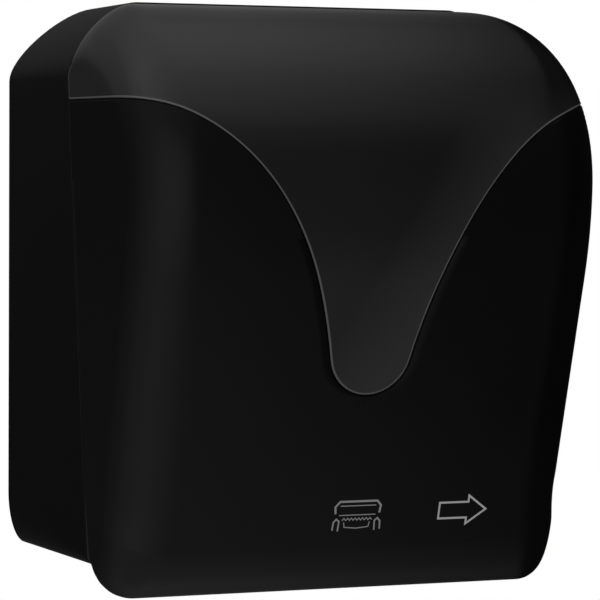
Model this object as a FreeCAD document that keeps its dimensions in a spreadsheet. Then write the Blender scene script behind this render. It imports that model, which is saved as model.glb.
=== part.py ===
import FreeCAD, Part
import math
import os
import Sketcher

# Autocut towel dispenser: a wall housing, a cover that hinges down at its foot and carries a smoke-grey
# window, and inside them a drum that feeds and cuts the paper, a pinch roller and two roll arms.
# Frame: X to the right, -Y out of the wall, +Z up. The origin is the centre of the four wall screws.
# In the notes below, depth is the distance from the wall and height is counted from a level close to the
# cover's lowest edge, origin_height below the origin.

os.makedirs("parts", exist_ok=True)
doc = FreeCAD.newDocument("towel_dispenser")

SIZES = {
    # whole object
    "overall_width": 320.0,
    "overall_height": 372.0,
    "overall_depth": 238.0,
    "origin_height": 200.0,
    "shell_wall": 3.0,
    # seam between housing and cover, a straight line seen from the side
    "seam_foot_depth": 142.4,
    "seam_tilt": 0.1136,
    "seam_gap": 0.5,
    "housing_foot": 18.5,
    "housing_step": 1.0,
    # side profile of the cover
    "crown_height": 258.5,
    "crown_forward": 76.0,
    "crown_rise": 69.0,
    "crown_slope": 0.03,
    "front_lean": 0.26,
    "lean_blend": 60.0,
    "nose_start": 28.0,
    "nose_front_reach": 10.0,
    "nose_back_reach": 47.5,
    "nose_angle": 76.0,
    "nose_centre": 70.0,
    # roundings and draft of the cover
    "edge_radius": 35.0,
    "seam_corner": 48.5,
    "foot_corner": 6.0,
    "foot_fade": 0.325,
    "side_taper": 0.013,
    # outline of the housing at the wall
    "wall_corner_width": 61.0,
    "wall_corner_height": 49.0,
    "wall_foot_width": 12.5,
    "wall_foot_height": 34.5,
    # window
    "tongue_radius": 28.0,
    "tongue_height": 153.5,
    "tongue_flare": 12.0,
    "tongue_reach": 120.0,
    "wing_height": 309.5,
    "wing_reach": 48.0,
    "window_gap": 0.1,
    "ledge_width": 5.0,
    "ledge_thickness": 2.0,
    "rim_width": 8.0,
    # wall screws
    "screw_spread_x": 210.0,
    "screw_spread_z": 200.0,
    "screw_hole_radius": 2.75,
    # cover hinge
    "hinge_depth": 154.0,
    "hinge_height": 10.0,
    "hinge_pin_radius": 2.5,
    "hinge_bore_radius": 2.56,
    "hinge_eye_radius": 5.5,
    "lug_inner_x": 134.5,
    "lug_thickness": 5.5,
    "rib_inner_x": 140.4,
    "rib_thickness": 4.6,
    # lock
    "lock_depth": 80.0,
    "lock_radius": 9.0,
    "lock_flange_radius": 11.5,
    "lock_flange_thickness": 1.2,
    "lock_length": 11.4,
    "plug_radius": 5.5,
    "plug_bore_radius": 5.56,
    "plug_extra": 0.6,
    "keyway_width": 1.4,
    "keyway_length": 6.0,
    "lock_nut_across": 24.0,
    "lock_nut_thickness": 2.5,
    "cam_length": 17.0,
    "cam_width": 7.0,
    "cam_thickness": 2.0,
    # axis of the paper roll that the machine takes
    "roll_depth": 112.0,
    "roll_height": 256.0,
    # drum
    "drum_radius": 42.0,
    "drum_length": 214.0,
    "drum_wall": 3.0,
    "drum_sleeve_wall": 3.0,
    "drum_depth": 100.0,
    "drum_height": 96.0,
    "slot_rear": 10.0,
    "slot_front": 19.0,
    "slot_length": 204.0,
    "shaft_radius": 5.0,
    "shaft_bore_radius": 5.06,
    "band_thickness": 0.8,
    "band_width": 14.0,
    "bush_radius": 8.0,
    "bush_flange_radius": 11.0,
    "bush_flange_thickness": 1.4,
    "crank_play": 0.6,
    "crank_radius": 23.0,
    "crank_thickness": 4.0,
    "crank_throw": 18.0,
    "crank_pin_radius": 2.5,
    "crank_pin_length": 9.0,
    "crank_pin_extra": 2.0,
    "return_spring_offset": 5.4,
    "knob_radius": 20.0,
    "knob_length": 26.0,
    "knob_start_x": 147.0,
    "knob_notch_radius": 1.8,
    "knob_opening_radius": 21.5,
    # knife inside the drum, measured from the drum's axis
    "pivot_forward": 20.0,
    "pivot_rise": -16.0,
    "pivot_radius": 2.5,
    "pivot_bore_radius": 2.56,
    "carrier_length": 196.0,
    "carrier_thickness": 3.0,
    "carrier_reach": 27.0,
    "knife_boss_radius": 4.5,
    "blade_start": 12.0,
    "blade_length": 36.0,
    "blade_thickness": 1.0,
    "blade_tip_forward": -8.0,
    "blade_tip_rise": -38.5,
    "tooth_pitch": 5.0,
    "tooth_depth": 4.0,
    "rivet_distance": 20.0,
    "rivet_radius": 1.5,
    "rivet_grip": 1.5,
    "rivet_head_radius": 2.6,
    "rivet_head_thickness": 0.8,
    "follower_radius": 4.0,
    "follower_forward": 29.0,
    "follower_rise": 6.0,
    "follower_length": 2.8,
    "follower_play": 0.2,
    "follower_pin_radius": 1.5,
    "follower_pin_head_radius": 2.4,
    "follower_pin_head_thickness": 0.5,
    "follower_arm_radius": 3.5,
    "follower_boss_radius": 4.6,
    "follower_arm_thickness": 2.4,
    "drum_end_play": 0.4,
    "cam_ring_thickness": 3.4,
    "cam_ring_radius": 44.0,
    "cam_track_radius": 38.0,
    "cam_lobe_radius": 34.2,
    # chassis
    "plate_inner_x": 114.0,
    "plate_thickness": 3.0,
    "plate_rear_depth": 9.0,
    "guide_radius": 55.0,
    "guide_thickness": 2.0,
    "tie_radius": 3.0,
    "tie_nut_radius": 5.5,
    "tie_nut_thickness": 3.0,
    "tie_rod_end": 4.0,
    "fastener_radius": 1.8,
    "fastener_head_radius": 3.5,
    "fastener_length": 8.0,
    "fastener_head_thickness": 2.2,
    "recess_length": 4.0,
    "recess_width": 0.9,
    "recess_depth": 1.2,
    "boss_radius": 5.0,
    "post_radius": 2.5,
    "post_height": 170.0,
    # pinch roller
    "pinch_angle": 40.0,
    "pinch_radius": 12.0,
    "pinch_shaft_radius": 4.0,
    "pinch_bore_radius": 4.06,
    "pinch_length": 200.0,
    "pinch_gap": 0.3,
    "pinch_travel": 3.0,
    "pinch_block": 12.0,
    "pinch_block_play": 0.2,
    "pinch_block_overhang": 1.6,
    "pinch_lip": 2.0,
    "pinch_spring_room": 8.0,
    "spring_play": 0.15,
    # roll arms and hubs
    "arm_inner_x": 108.0,
    "arm_thickness": 4.0,
    "arm_pivot_x": 118.0,
    "arm_pivot_depth": 19.0,
    "arm_pin_radius": 2.0,
    "arm_bore_radius": 2.06,
    "arm_barrel_radius": 5.0,
    "arm_barrel_length": 19.0,
    "arm_barrel_gap": 16.0,
    "arm_tip_radius": 15.0,
    "hub_radius": 18.5,
    "hub_length": 16.0,
    "hub_flange_radius": 28.0,
    "hub_flange_thickness": 2.6,
    "hub_stub_radius": 5.0,
    "hub_bore_radius": 5.06,
    "hub_wall": 2.5,
    "hub_hollow_depth": 12.0,
    "hub_play": 0.4,
    "hub_stub_extra": 1.2,
    "hub_snap_thickness": 1.6,
    "coil_wire_radius": 0.6,
}

sheet = doc.addObject("Spreadsheet::Sheet", "Sizes")
for row, (alias, number) in enumerate(SIZES.items(), start=1):
    sheet.set(f"A{row}", alias)
    sheet.set(f"B{row}", str(number))
    sheet.setAlias(f"B{row}", alias)
doc.recompute()

ALONG_X = FreeCAD.Rotation(FreeCAD.Vector(0, 1, 0), 90)
ALONG_Z = FreeCAD.Rotation()
OUT_OF_WALL = FreeCAD.Rotation(FreeCAD.Vector(1, 0, 0), 90)
# Pulls of a corner curve as shares of its sides: a round corner and one that is flatter in the middle
ROUND = 0.5523
SOFT = 0.34
nodes = []


def mm(alias):
    return float(sheet.get(alias))


def cell(alias):
    return "Sizes." + alias


def point(x, depth, height):
    return FreeCAD.Vector(x, -depth, height - mm("origin_height"))


def keep(obj, node):
    obj.Label = node
    nodes.append(obj)
    return obj


def mirrored(side):
    return "right" if side > 0 else "left"


# Primitives and booleans

def cylinder(name, radius, length, base, turn):
    obj = doc.addObject("Part::Cylinder", name)
    obj.setExpression("Radius", radius)
    obj.setExpression("Height", length)
    obj.Placement = FreeCAD.Placement(base, turn)
    return obj


def rod(name, radius, length, x, depth, height):
    return cylinder(name, radius, length, point(x, depth, height), ALONG_X)


def peg(name, radius, length, x, depth, height):
    return cylinder(name, radius, length, point(x, depth, height), OUT_OF_WALL)


def post(name, radius, length, x, depth, height):
    return cylinder(name, radius, length, point(x, depth, height), ALONG_Z)


def block(name, across, deep, tall, x, depth, height):
    """A box whose corner nearest to the wall, lowest and furthest left is at x, depth, height."""
    obj = doc.addObject("Part::Box", name)
    obj.setExpression("Length", across)
    obj.setExpression("Width", deep)
    obj.setExpression("Height", tall)
    obj.recompute()
    obj.Placement.Base = point(x, depth + obj.Width.Value, height)
    return obj


def join(name, *pieces):
    obj = doc.addObject("Part::MultiFuse", name)
    obj.Shapes = list(pieces)
    return obj


def cut(name, base, *tools):
    obj = doc.addObject("Part::Cut", name)
    obj.Base = base
    obj.Tool = tools[0] if len(tools) == 1 else join(name + "_tools", *tools)
    return obj


def group(name, *pieces):
    obj = doc.addObject("Part::Compound", name)
    obj.Links = list(pieces)
    return obj


def feature(name, shape):
    obj = doc.addObject("Part::Feature", name)
    obj.Shape = shape
    return obj


# Sketched plates and turned parts

def origin_plane(body, role):
    for item in body.Origin.OriginFeatures:
        if item.Role == role:
            return item
    raise ValueError(role)


def new_sketch(body, name, role):
    sketch = body.newObject("Sketcher::SketchObject", name)
    sketch.AttachmentSupport = [(origin_plane(body, role), "")]
    sketch.MapMode = "FlatFace"
    return sketch


def draw_outline(sketch, path):
    """Draw a closed outline. A path entry is a point, or a pair (point on the arc, end of the arc)."""
    start = path[0]
    first = start
    edges = []
    for entry in path[1:] + [first]:
        if isinstance(entry[0], tuple):
            middle, end = entry
            curve = Part.Arc(FreeCAD.Vector(*start), FreeCAD.Vector(*middle), FreeCAD.Vector(*end))
        else:
            end = entry
            curve = Part.LineSegment(FreeCAD.Vector(*start), FreeCAD.Vector(*end))
        edges.append(sketch.addGeometry(curve, False))
        start = end
    for index, edge in enumerate(edges):
        following = edges[(index + 1) % len(edges)]
        pairs = [(a, b) for a in (1, 2) for b in (1, 2)]
        nearest = min(pairs, key=lambda ends: gap_between(sketch, edge, following, ends))
        sketch.addConstraint(Sketcher.Constraint("Coincident", edge, nearest[0], following, nearest[1]))


def gap_between(sketch, edge, following, ends):
    return (sketch.getPoint(edge, ends[0]) - sketch.getPoint(following, ends[1])).Length


def draw_hole(sketch, centre, radius_alias):
    circle = Part.Circle(FreeCAD.Vector(*centre), FreeCAD.Vector(0, 0, 1), mm(radius_alias))
    edge = sketch.addGeometry(circle, False)
    number = sketch.addConstraint(Sketcher.Constraint("Radius", edge, mm(radius_alias)))
    sketch.setExpression(f"Constraints[{number}]", cell(radius_alias))


def side_view(depth, height):
    return (-depth, height - mm("origin_height"), 0)


def side_plate(name, outline, holes, thickness, x, windows=()):
    """A plate seen from the side: outline in depth and height, padded along X from x."""
    body = doc.addObject("PartDesign::Body", name)
    sketch = new_sketch(body, name + "_outline", "YZ_Plane")
    draw_outline(sketch, [side_entry(entry) for entry in outline])
    for window in windows:
        draw_outline(sketch, [side_entry(entry) for entry in window])
    for depth, height, radius_alias in holes:
        draw_hole(sketch, side_view(depth, height), radius_alias)
    pad = body.newObject("PartDesign::Pad", name + "_pad")
    pad.Profile = sketch
    pad.setExpression("Length", thickness)
    sketch.Visibility = False
    body.Placement.Base = FreeCAD.Vector(x, 0, 0)
    return body


def side_entry(entry):
    if isinstance(entry[0], tuple):
        return tuple(side_view(*each) for each in entry)
    return side_view(*entry)


def turned(name, steps, x, depth, height):
    """Coaxial cylinders along X: steps of (radius expression, length expression)."""
    pieces = []
    for index, (radius, length) in enumerate(steps):
        piece = rod(f"{name}_step{index}", radius, length, x, depth, height)
        piece.recompute()
        x += piece.Height.Value
        pieces.append(piece)
    return join(name, *pieces)


# Outer form: one skin that runs over the cover from the seam's top to the seam's foot. Each section is a
# flat U through the front, square to the side profile, and the sections fan out from points on the seam.

def seam_depth(height):
    return mm("seam_foot_depth") - mm("seam_tilt") * (height - mm("housing_foot"))


def front_depth(height):
    """Depth of the front at a height under the crown: it curves away and then leans back evenly."""
    below = mm("crown_height") - height
    blend = mm("lean_blend")
    drop = below * below / (2 * blend) if below < blend else below - blend / 2
    return mm("overall_depth") - mm("front_lean") * drop


def cubic(poles, share):
    """Point and direction on a cubic curve in the side view."""
    rest = 1 - share
    weights = (rest ** 3, 3 * rest * rest * share, 3 * rest * share * share, share ** 3)
    slopes = (3 * rest * rest, 6 * rest * share, 3 * share * share)
    place = [sum(weight * pole[axis] for weight, pole in zip(weights, poles)) for axis in (0, 1)]
    steps = [[after[axis] - before[axis] for axis in (0, 1)] for before, after in zip(poles, poles[1:])]
    heading = [sum(slope * step[axis] for slope, step in zip(slopes, steps)) for axis in (0, 1)]
    length = math.hypot(*heading)
    return place, (heading[0] / length, heading[1] / length)


def crown_poles():
    top = mm("overall_height") - mm("housing_step")
    slope = math.atan(mm("crown_slope"))
    forward = mm("crown_forward")
    start = (seam_depth(top), top)
    end = (mm("overall_depth"), mm("crown_height"))
    return (start,
            (start[0] + forward * math.cos(slope), start[1] - forward * math.sin(slope)),
            (end[0], end[1] + mm("crown_rise")),
            end)


def nose_poles():
    lean = math.atan(mm("front_lean"))
    angle = math.radians(mm("nose_angle"))
    low = mm("nose_start")
    start = (front_depth(low), low)
    foot = mm("housing_foot")
    end = (seam_depth(foot), foot)
    return (start,
            (start[0] - mm("nose_front_reach") * math.sin(lean), low - mm("nose_front_reach") * math.cos(lean)),
            (end[0] + mm("nose_back_reach") * math.cos(angle), foot - mm("nose_back_reach") * math.sin(angle)),
            end)


def inside(place, heading, inset):
    """Move a point of the profile into the cover, square to the profile's heading."""
    return (place[0] + heading[1] * inset, place[1] - heading[0] * inset)


def onto_seam(place, heading, shift):
    """Slide a point along its heading until it meets the seam, or a line parallel to the seam."""
    excess = place[0] - seam_depth(place[1]) - shift
    travel = excess / (heading[0] + mm("seam_tilt") * heading[1])
    return (place[0] - travel * heading[0], place[1] - travel * heading[1])


def crown_sections(inset, shift):
    """Sections as (tip, root, half width, corner size, corner pull); tip and root are (depth, height)."""
    crown = mm("crown_height")
    root = (seam_depth(crown) + shift, crown)
    count = 12
    tips = []
    for step in range(count + 1):
        place, heading = cubic(crown_poles(), step / count)
        tip = inside(place, heading, inset)
        tips.append(onto_seam(tip, heading, shift) if step == 0 else tip)
    full = math.atan2(tips[0][1] - root[1], tips[0][0] - root[0])
    sections = []
    for tip in tips:
        turn = max(math.atan2(tip[1] - root[1], tip[0] - root[0]) / full, 0)
        corner = mm("edge_radius") - inset + (mm("seam_corner") - mm("edge_radius")) * turn ** 12
        pull = ROUND + (SOFT - ROUND) * turn ** 4
        sections.append((tip, root, mm("overall_width") / 2 - inset, corner, pull))
    return sections


def front_sections(inset, shift):
    crown, low = mm("crown_height"), mm("nose_centre")
    count = 6
    sections = []
    for step in range(count + 1):
        height = crown + (low - crown) * step / count
        lean = math.atan(mm("front_lean") * min((crown - height) / mm("lean_blend"), 1))
        tip = (front_depth(height) - inset * math.cos(lean), height + inset * math.sin(lean))
        root = (seam_depth(height) + shift, height)
        half = mm("overall_width") / 2 - inset - mm("side_taper") * (crown - tip[1])
        sections.append((tip, root, half, mm("edge_radius") - inset, ROUND))
    return sections


def nose_sections(inset, shift):
    low = mm("nose_centre")
    lean = math.atan(mm("front_lean"))
    lean_in = (inset * math.cos(lean), inset * math.sin(lean))
    tips = [(front_depth(height) - lean_in[0], height + lean_in[1])
            for height in (low, low * 0.8, low * 0.6)]
    count = 9
    for step in range(count + 1):
        place, heading = cubic(nose_poles(), step / count)
        tips.append(inside(place, heading, inset))
    if inset:
        end = onto_seam(tips[-1], (-math.sqrt(0.5), math.sqrt(0.5)), shift)
        tips.append(((tips[-1][0] + end[0]) / 2, (tips[-1][1] + end[1]) / 2))
        tips.append(end)
    else:
        tips.append(onto_seam(tips.pop(), heading, shift))
    root = (seam_depth(low) + shift, low)
    first = math.atan2(tips[0][1] - root[1], tips[0][0] - root[0])
    full = math.atan2(tips[-1][1] - root[1], tips[-1][0] - root[0])
    foot = mm("foot_corner") - inset
    sections = []
    for tip in tips:
        turn = (math.atan2(tip[1] - root[1], tip[0] - root[0]) - first) / (full - first)
        fade = max(math.cos(turn * math.pi / 2), 0) ** mm("foot_fade")
        half = mm("overall_width") / 2 - inset - mm("side_taper") * (mm("crown_height") - tip[1]) * fade
        corner = foot + (mm("edge_radius") - inset - foot) * fade
        sections.append((tip, root, half, corner, ROUND))
    return sections


def corner_curve(start, start_pull, end_pull, end):
    curve = Part.BezierCurve()
    curve.setPoles([start, start_pull, end_pull, end])
    return curve.toShape()


def section_wire(section):
    tip, root, half, corner, share = section
    reach = math.hypot(tip[0] - root[0], tip[1] - root[1])
    forward = ((tip[0] - root[0]) / reach, (tip[1] - root[1]) / reach)
    pull = corner * (1 - share)

    def at(x, distance):
        return point(x, root[0] + forward[0] * distance, root[1] + forward[1] * distance)

    left = corner_curve(at(-half, reach - corner), at(-half, reach - pull),
                        at(-half + pull, reach), at(-half + corner, reach))
    front = Part.makeLine(at(-half + corner, reach), at(half - corner, reach))
    right = corner_curve(at(half - corner, reach), at(half - pull, reach),
                         at(half, reach - pull), at(half, reach - corner))
    return Part.Wire([left, front, right])


def edge_between(shape, start, end):
    """The edge of a shape that runs between two points."""
    for edge in shape.Edges:
        ends = [edge.valueAt(edge.FirstParameter), edge.valueAt(edge.LastParameter)]
        if min((ends[0] - start).Length + (ends[1] - end).Length,
               (ends[1] - start).Length + (ends[0] - end).Length) < 0.01:
            return edge
    raise ValueError("no edge between the points")


def cover_core(inset, shift):
    """Solid bounded by the cover's skin, its two flanks and a plane parallel to the seam."""
    parts = [crown_sections(inset, shift), front_sections(inset, shift), nose_sections(inset, shift)]
    wires = [[section_wire(section) for section in sections] for sections in parts]
    skins = [Part.makeLoft(row, False, False) for row in wires]
    faces = [face for skin in skins for face in skin.Faces]
    rear_edges = list(wires[0][0].Edges) + list(wires[-1][-1].Edges)
    for side in (-1, 1):
        end = 0 if side < 0 else -1
        loci = [(row[0].OrderedVertexes[end].Point, row[-1].OrderedVertexes[end].Point) for row in wires]
        x = side * (mm("overall_width") / 2 - inset)
        roots = [loci[0][0]] + [point(x, *row[-1][1]) for row in parts[:-1]] + [loci[-1][1]]
        for skin, (start, finish), low, high in zip(skins, loci, roots, roots[1:]):
            locus = edge_between(skin, start, finish)
            forward = (locus.valueAt(locus.FirstParameter) - start).Length < 0.01
            straight = Part.makeLine(low, high) if forward else Part.makeLine(high, low)
            faces.append(Part.makeRuledSurface(Part.Edge(locus.Curve, locus.FirstParameter, locus.LastParameter),
                                               straight))
            rear_edges.append(straight)
    faces.append(Part.Face(Part.Wire(Part.__sortEdges__(rear_edges))))
    shell = Part.makeShell(faces)
    shell.sewShape()
    solid = Part.makeSolid(shell)
    if solid.Volume < 0:
        solid.reverse()
    return solid


def housing_wire(inset, depth_at, corner_width, corner_height, foot_width, foot_height):
    """Closed outline of the housing, seen from the front, on a flat or tilted plane."""
    half = mm("overall_width") / 2 - inset
    low = mm("housing_foot") + inset
    high = mm("overall_height") - inset
    wide, tall = corner_width - inset, corner_height - inset
    narrow, short = foot_width - inset, foot_height - inset

    def at(x, height):
        return point(x, depth_at(height), height)

    def quarter(x_end, z_end, side, width, height, up, share):
        """Corner from the flank to the horizontal edge."""
        left_over = 1 - share
        start = at(side * x_end, z_end - up * height)
        finish = at(side * (x_end - width), z_end)
        return corner_curve(start, at(side * x_end, z_end - up * height * left_over),
                            at(side * (x_end - width * left_over), z_end), finish)

    edges = [quarter(half, high, -1, wide, tall, 1, SOFT),
             Part.makeLine(at(-half + wide, high), at(half - wide, high)),
             quarter(half, high, 1, wide, tall, 1, SOFT),
             Part.makeLine(at(half, high - tall), at(half, low + short)),
             quarter(half, low, 1, narrow, short, -1, ROUND),
             Part.makeLine(at(half - narrow, low), at(-half + narrow, low)),
             quarter(half, low, -1, narrow, short, -1, ROUND),
             Part.makeLine(at(-half, low + short), at(-half, high - tall))]
    return Part.Wire(Part.__sortEdges__(edges))


def housing_solid(inset, rear, gap):
    """Solid between the housing's outline at the wall and its outline at the seam."""
    seam = housing_wire(inset, lambda height: seam_depth(height) - gap, mm("seam_corner"),
                        mm("seam_corner"), mm("foot_corner"), mm("foot_corner"))
    wall = housing_wire(inset, lambda height: rear, mm("wall_corner_width"),
                        mm("wall_corner_height"), mm("wall_foot_width"), mm("wall_foot_height"))
    return Part.makeLoft([wall, seam], True, True)


def window_prism(grow):
    """The window's outline seen from the front, pushed through the whole cover."""
    radius = mm("tongue_radius") + grow
    centre = mm("tongue_height")
    side = mm("overall_width") / 2 + 5
    wing = mm("wing_height") - grow
    high = mm("overall_height") + 20
    forward, across = math.cos(math.radians(mm("tongue_flare"))), math.sin(math.radians(mm("tongue_flare")))
    half, low = radius * forward, centre - radius * across
    reach = mm("tongue_reach")

    def at(x, height):
        return point(x, 0, height)

    def flank(side_sign):
        return corner_curve(at(side_sign * half, low),
                            at(side_sign * (half + reach * across), low + reach * forward),
                            at(side_sign * (side - mm("wing_reach")), wing), at(side_sign * side, wing))

    bottom = Part.Arc(at(-half, low), at(0, centre - radius), at(half, low)).toShape()
    edges = [bottom, flank(1), Part.makeLine(at(side, wing), at(side, high)),
             Part.makeLine(at(side, high), at(-side, high)), Part.makeLine(at(-side, high), at(-side, wing)),
             flank(-1)]
    face = Part.Face(Part.Wire(Part.__sortEdges__(edges)))
    return face.extrude(FreeCAD.Vector(0, -mm("overall_depth") - 20, 0))


def box_between(x_low, x_high, depth_low, depth_high, low, high):
    return Part.makeBox(x_high - x_low, depth_high - depth_low, high - low, point(x_low, depth_high, low))


def x_cylinder(radius, x_low, x_high, depth, height):
    return Part.makeCylinder(radius, x_high - x_low, point(x_low, depth, height), FreeCAD.Vector(1, 0, 0))


def side_prism(outline, x_low, x_high):
    """Straight-sided outline in depth and height, pushed from x_low to x_high."""
    corners = [point(x_low, depth, height) for depth, height in outline]
    face = Part.Face(Part.makePolygon(corners + corners[:1]))
    return face.extrude(FreeCAD.Vector(x_high - x_low, 0, 0))


def seam_slab(width):
    """Everything from the seam to a given distance in front of it."""
    half = mm("overall_width") / 2 + 5
    low, high = -10.0, mm("overall_height") + 10
    outline = [(seam_depth(low) - 1, low), (seam_depth(low) + width, low),
               (seam_depth(high) + width, high), (seam_depth(high) - 1, high)]
    return side_prism(outline, -half, half)


# Housing and cover

def hinge_lug(side):
    """Arm of the housing that reaches under the seam and carries a hinge pin."""
    depth, height, radius = mm("hinge_depth"), mm("hinge_height"), mm("hinge_eye_radius")
    x_low = mm("lug_inner_x") if side > 0 else -mm("lug_inner_x") - mm("lug_thickness")
    x_high = x_low + mm("lug_thickness")
    floor = mm("housing_foot") + mm("shell_wall") - 1
    bar = side_prism([(depth - 42, floor), (depth - 42, floor + 12), (depth - 18, floor + 12),
                      (depth + 4, height + radius - 2), (depth, height - radius), (depth - 4.5, height - 3),
                      (depth - 14, floor)], x_low, x_high)
    eye = x_cylinder(radius, x_low, x_high, depth, height)
    bore = x_cylinder(mm("hinge_pin_radius"), x_low - 1, x_high + 1, depth, height)
    return bar.fuse(eye).cut(bore)


def bosses():
    """Round feet on the back wall that the chassis plates and arm brackets are screwed to."""
    feet = []
    bores = []
    for x, height in chassis_screw_places() + bracket_screw_places():
        deep = mm("plate_rear_depth") - mm("shell_wall") + 0.5
        feet.append(Part.makeCylinder(mm("boss_radius"), deep, point(x, mm("shell_wall") - 0.5, height),
                                      FreeCAD.Vector(0, -1, 0)))
        bores.append(Part.makeCylinder(mm("fastener_radius"), deep, point(x, mm("shell_wall") + 0.5, height),
                                       FreeCAD.Vector(0, -1, 0)))
    return feet, bores


def chassis_screw_places():
    x = mm("plate_inner_x") + mm("plate_thickness") + 8
    return [(side * x, height) for side in (-1, 1) for height in (64.0, 132.0)]


def bracket_screw_places():
    x = mm("arm_pivot_x") + 14
    return [(side * x, mm("roll_height") + rise) for side in (-1, 1) for rise in (-26.0, 26.0)]


def rear_housing():
    outer = housing_solid(0, 0, mm("seam_gap") / 2)
    inner = housing_solid(mm("shell_wall"), 0, -20)
    wall = mm("shell_wall")
    half = mm("overall_width") / 2
    front_part = box_between(-half - 5, half + 5, wall, mm("overall_depth"), 0, mm("overall_height") + 5)
    shell = outer.cut(inner.common(front_part))
    feet, bores = bosses()
    shell = shell.fuse(feet + [hinge_lug(-1), hinge_lug(1)])
    shell = shell.cut(bores)
    exit_half = mm("plate_inner_x") + 0.6
    openings = [box_between(-exit_half, exit_half, 88, 150, 0, 40)]
    for x in (-0.5, 0.5):
        for z in (-0.5, 0.5):
            place = FreeCAD.Vector(x * mm("screw_spread_x"), 1, z * mm("screw_spread_z"))
            openings.append(Part.makeCylinder(mm("screw_hole_radius"), wall + 2, place,
                                              FreeCAD.Vector(0, -1, 0)))
    openings.append(x_cylinder(mm("knob_opening_radius"), half - 10, half + 5,
                               mm("drum_depth"), mm("drum_height")))
    openings.append(Part.makeCylinder(mm("lock_radius"), 10, point(0, mm("lock_depth"), mm("overall_height") - 5)))
    openings.append(Part.makeCylinder(mm("lock_flange_radius"), 5, point(0, mm("lock_depth"),
                                      mm("overall_height") - mm("lock_flange_thickness"))))
    return keep(feature("rear_housing", shell.cut(openings).removeSplitter()), "rear_housing")


def cover_pieces():
    """The black cover and the window that is bonded into it."""
    wall = mm("shell_wall")
    gap = mm("seam_gap") / 2
    past = -2 * wall
    skin = cover_core(0, gap).cut(cover_core(wall, past))
    window = skin.common(window_prism(-mm("window_gap")))
    pane = skin.common(window_prism(mm("window_gap")))
    lining = cover_core(wall - 1, gap).cut(cover_core(wall + mm("ledge_thickness"), past))
    ledge = lining.common(window_prism(mm("ledge_width")).cut(window_prism(-mm("ledge_width"))))
    rim = lining.common(seam_slab(mm("rim_width")))
    rim = rim.cut(box_between(-200, 200, 0, 300, -10, mm("nose_centre")))
    body = skin.fuse([ledge, rim]).cut(pane)
    exit_half = mm("lug_inner_x") + mm("lug_thickness") + 0.6
    body = body.cut(box_between(-exit_half, exit_half, 120, 158, -5, 40))
    within = cover_core(wall / 2, gap)
    body = body.fuse([hinge_rib(side, within) for side in (-1, 1)])
    bores = []
    for side in (-1, 1):
        x = side * (mm("rib_inner_x") + mm("rib_thickness") / 2)
        bores.append(x_cylinder(mm("hinge_bore_radius"), x - 5, x + 5, mm("hinge_depth"), mm("hinge_height")))
    keep(feature("front_cover", body.cut(bores)), "front_cover")
    keep(feature("smoke_window", window), "smoke_window")


def hinge_rib(side, within):
    """Rib inside the cover's foot with the eye that turns on a hinge pin."""
    depth, height, radius = mm("hinge_depth"), mm("hinge_height"), mm("hinge_eye_radius")
    x_low = mm("rib_inner_x") if side > 0 else -mm("rib_inner_x") - mm("rib_thickness")
    x_high = x_low + mm("rib_thickness")
    web = side_prism([(depth, height + radius), (depth + 32, height + 24), (depth + 32, 0), (depth + 8, 0),
                      (depth, height - radius)], x_low, x_high)
    eye = x_cylinder(radius, x_low, x_high, depth, height)
    return web.fuse(eye).common(within)


def hinge_pins():
    pins = []
    for side in (-1, 1):
        start = mm("lug_inner_x") if side > 0 else -mm("rib_inner_x") - mm("rib_thickness")
        pins.append(rod(f"hinge_pin_{mirrored(side)}", cell("hinge_pin_radius"),
                        "Sizes.rib_inner_x + Sizes.rib_thickness - Sizes.lug_inner_x",
                        start, mm("hinge_depth"), mm("hinge_height")))
    keep(group("hinge_pins", *pins), "hinge_pins")


# Lock

def lock():
    depth = mm("lock_depth")
    top = mm("overall_height")
    barrel = join("lock_barrel_solid",
                  post("lock_flange", cell("lock_flange_radius"), cell("lock_flange_thickness"), 0, depth,
                       top - mm("lock_flange_thickness")),
                  post("lock_stem", cell("lock_radius"), cell("lock_length"), 0, depth, top - mm("lock_length")))
    bore = post("lock_bore", cell("plug_bore_radius"), "Sizes.lock_length + 10", 0, depth,
                top - mm("lock_length") - 5)
    keep(cut("lock_barrel", barrel, bore), "lock_barrel")
    nut = Part.makePolygon([point(0, depth, 0) + FreeCAD.Vector(
        mm("lock_nut_across") / math.sqrt(3) * math.cos(math.radians(60 * corner)),
        mm("lock_nut_across") / math.sqrt(3) * math.sin(math.radians(60 * corner)), 0) for corner in range(7)])
    nut_face = Part.Face(nut)
    nut_solid = nut_face.extrude(FreeCAD.Vector(0, 0, mm("lock_nut_thickness")))
    hole = Part.makeCylinder(mm("lock_radius"), 10, point(0, depth, -2))
    nut_solid = nut_solid.cut(hole)
    nut_solid.translate(FreeCAD.Vector(0, 0, top - mm("shell_wall") - mm("lock_nut_thickness")))
    keep(feature("lock_nut", nut_solid), "lock_nut")
    plug_low = top - mm("lock_length") - mm("plug_extra")
    plug = post("plug_body", cell("plug_radius"), "Sizes.lock_length + Sizes.plug_extra", 0, depth, plug_low)
    keyway = block("keyway", cell("keyway_width"), cell("keyway_length"), "5",
                   -mm("keyway_width") / 2, depth - mm("keyway_length") / 2, top - 3.5)
    keep(cut("lock_plug", plug, keyway), "lock_plug")
    cam_low = plug_low - mm("cam_thickness")
    tongue = block("cam_tongue", cell("cam_width"), cell("cam_length"), cell("cam_thickness"),
                   -mm("cam_width") / 2, depth, cam_low)
    disc = post("cam_disc", cell("plug_radius"), cell("cam_thickness"), 0, depth, cam_low)
    keep(join("lock_cam", tongue, disc), "lock_cam")


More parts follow.
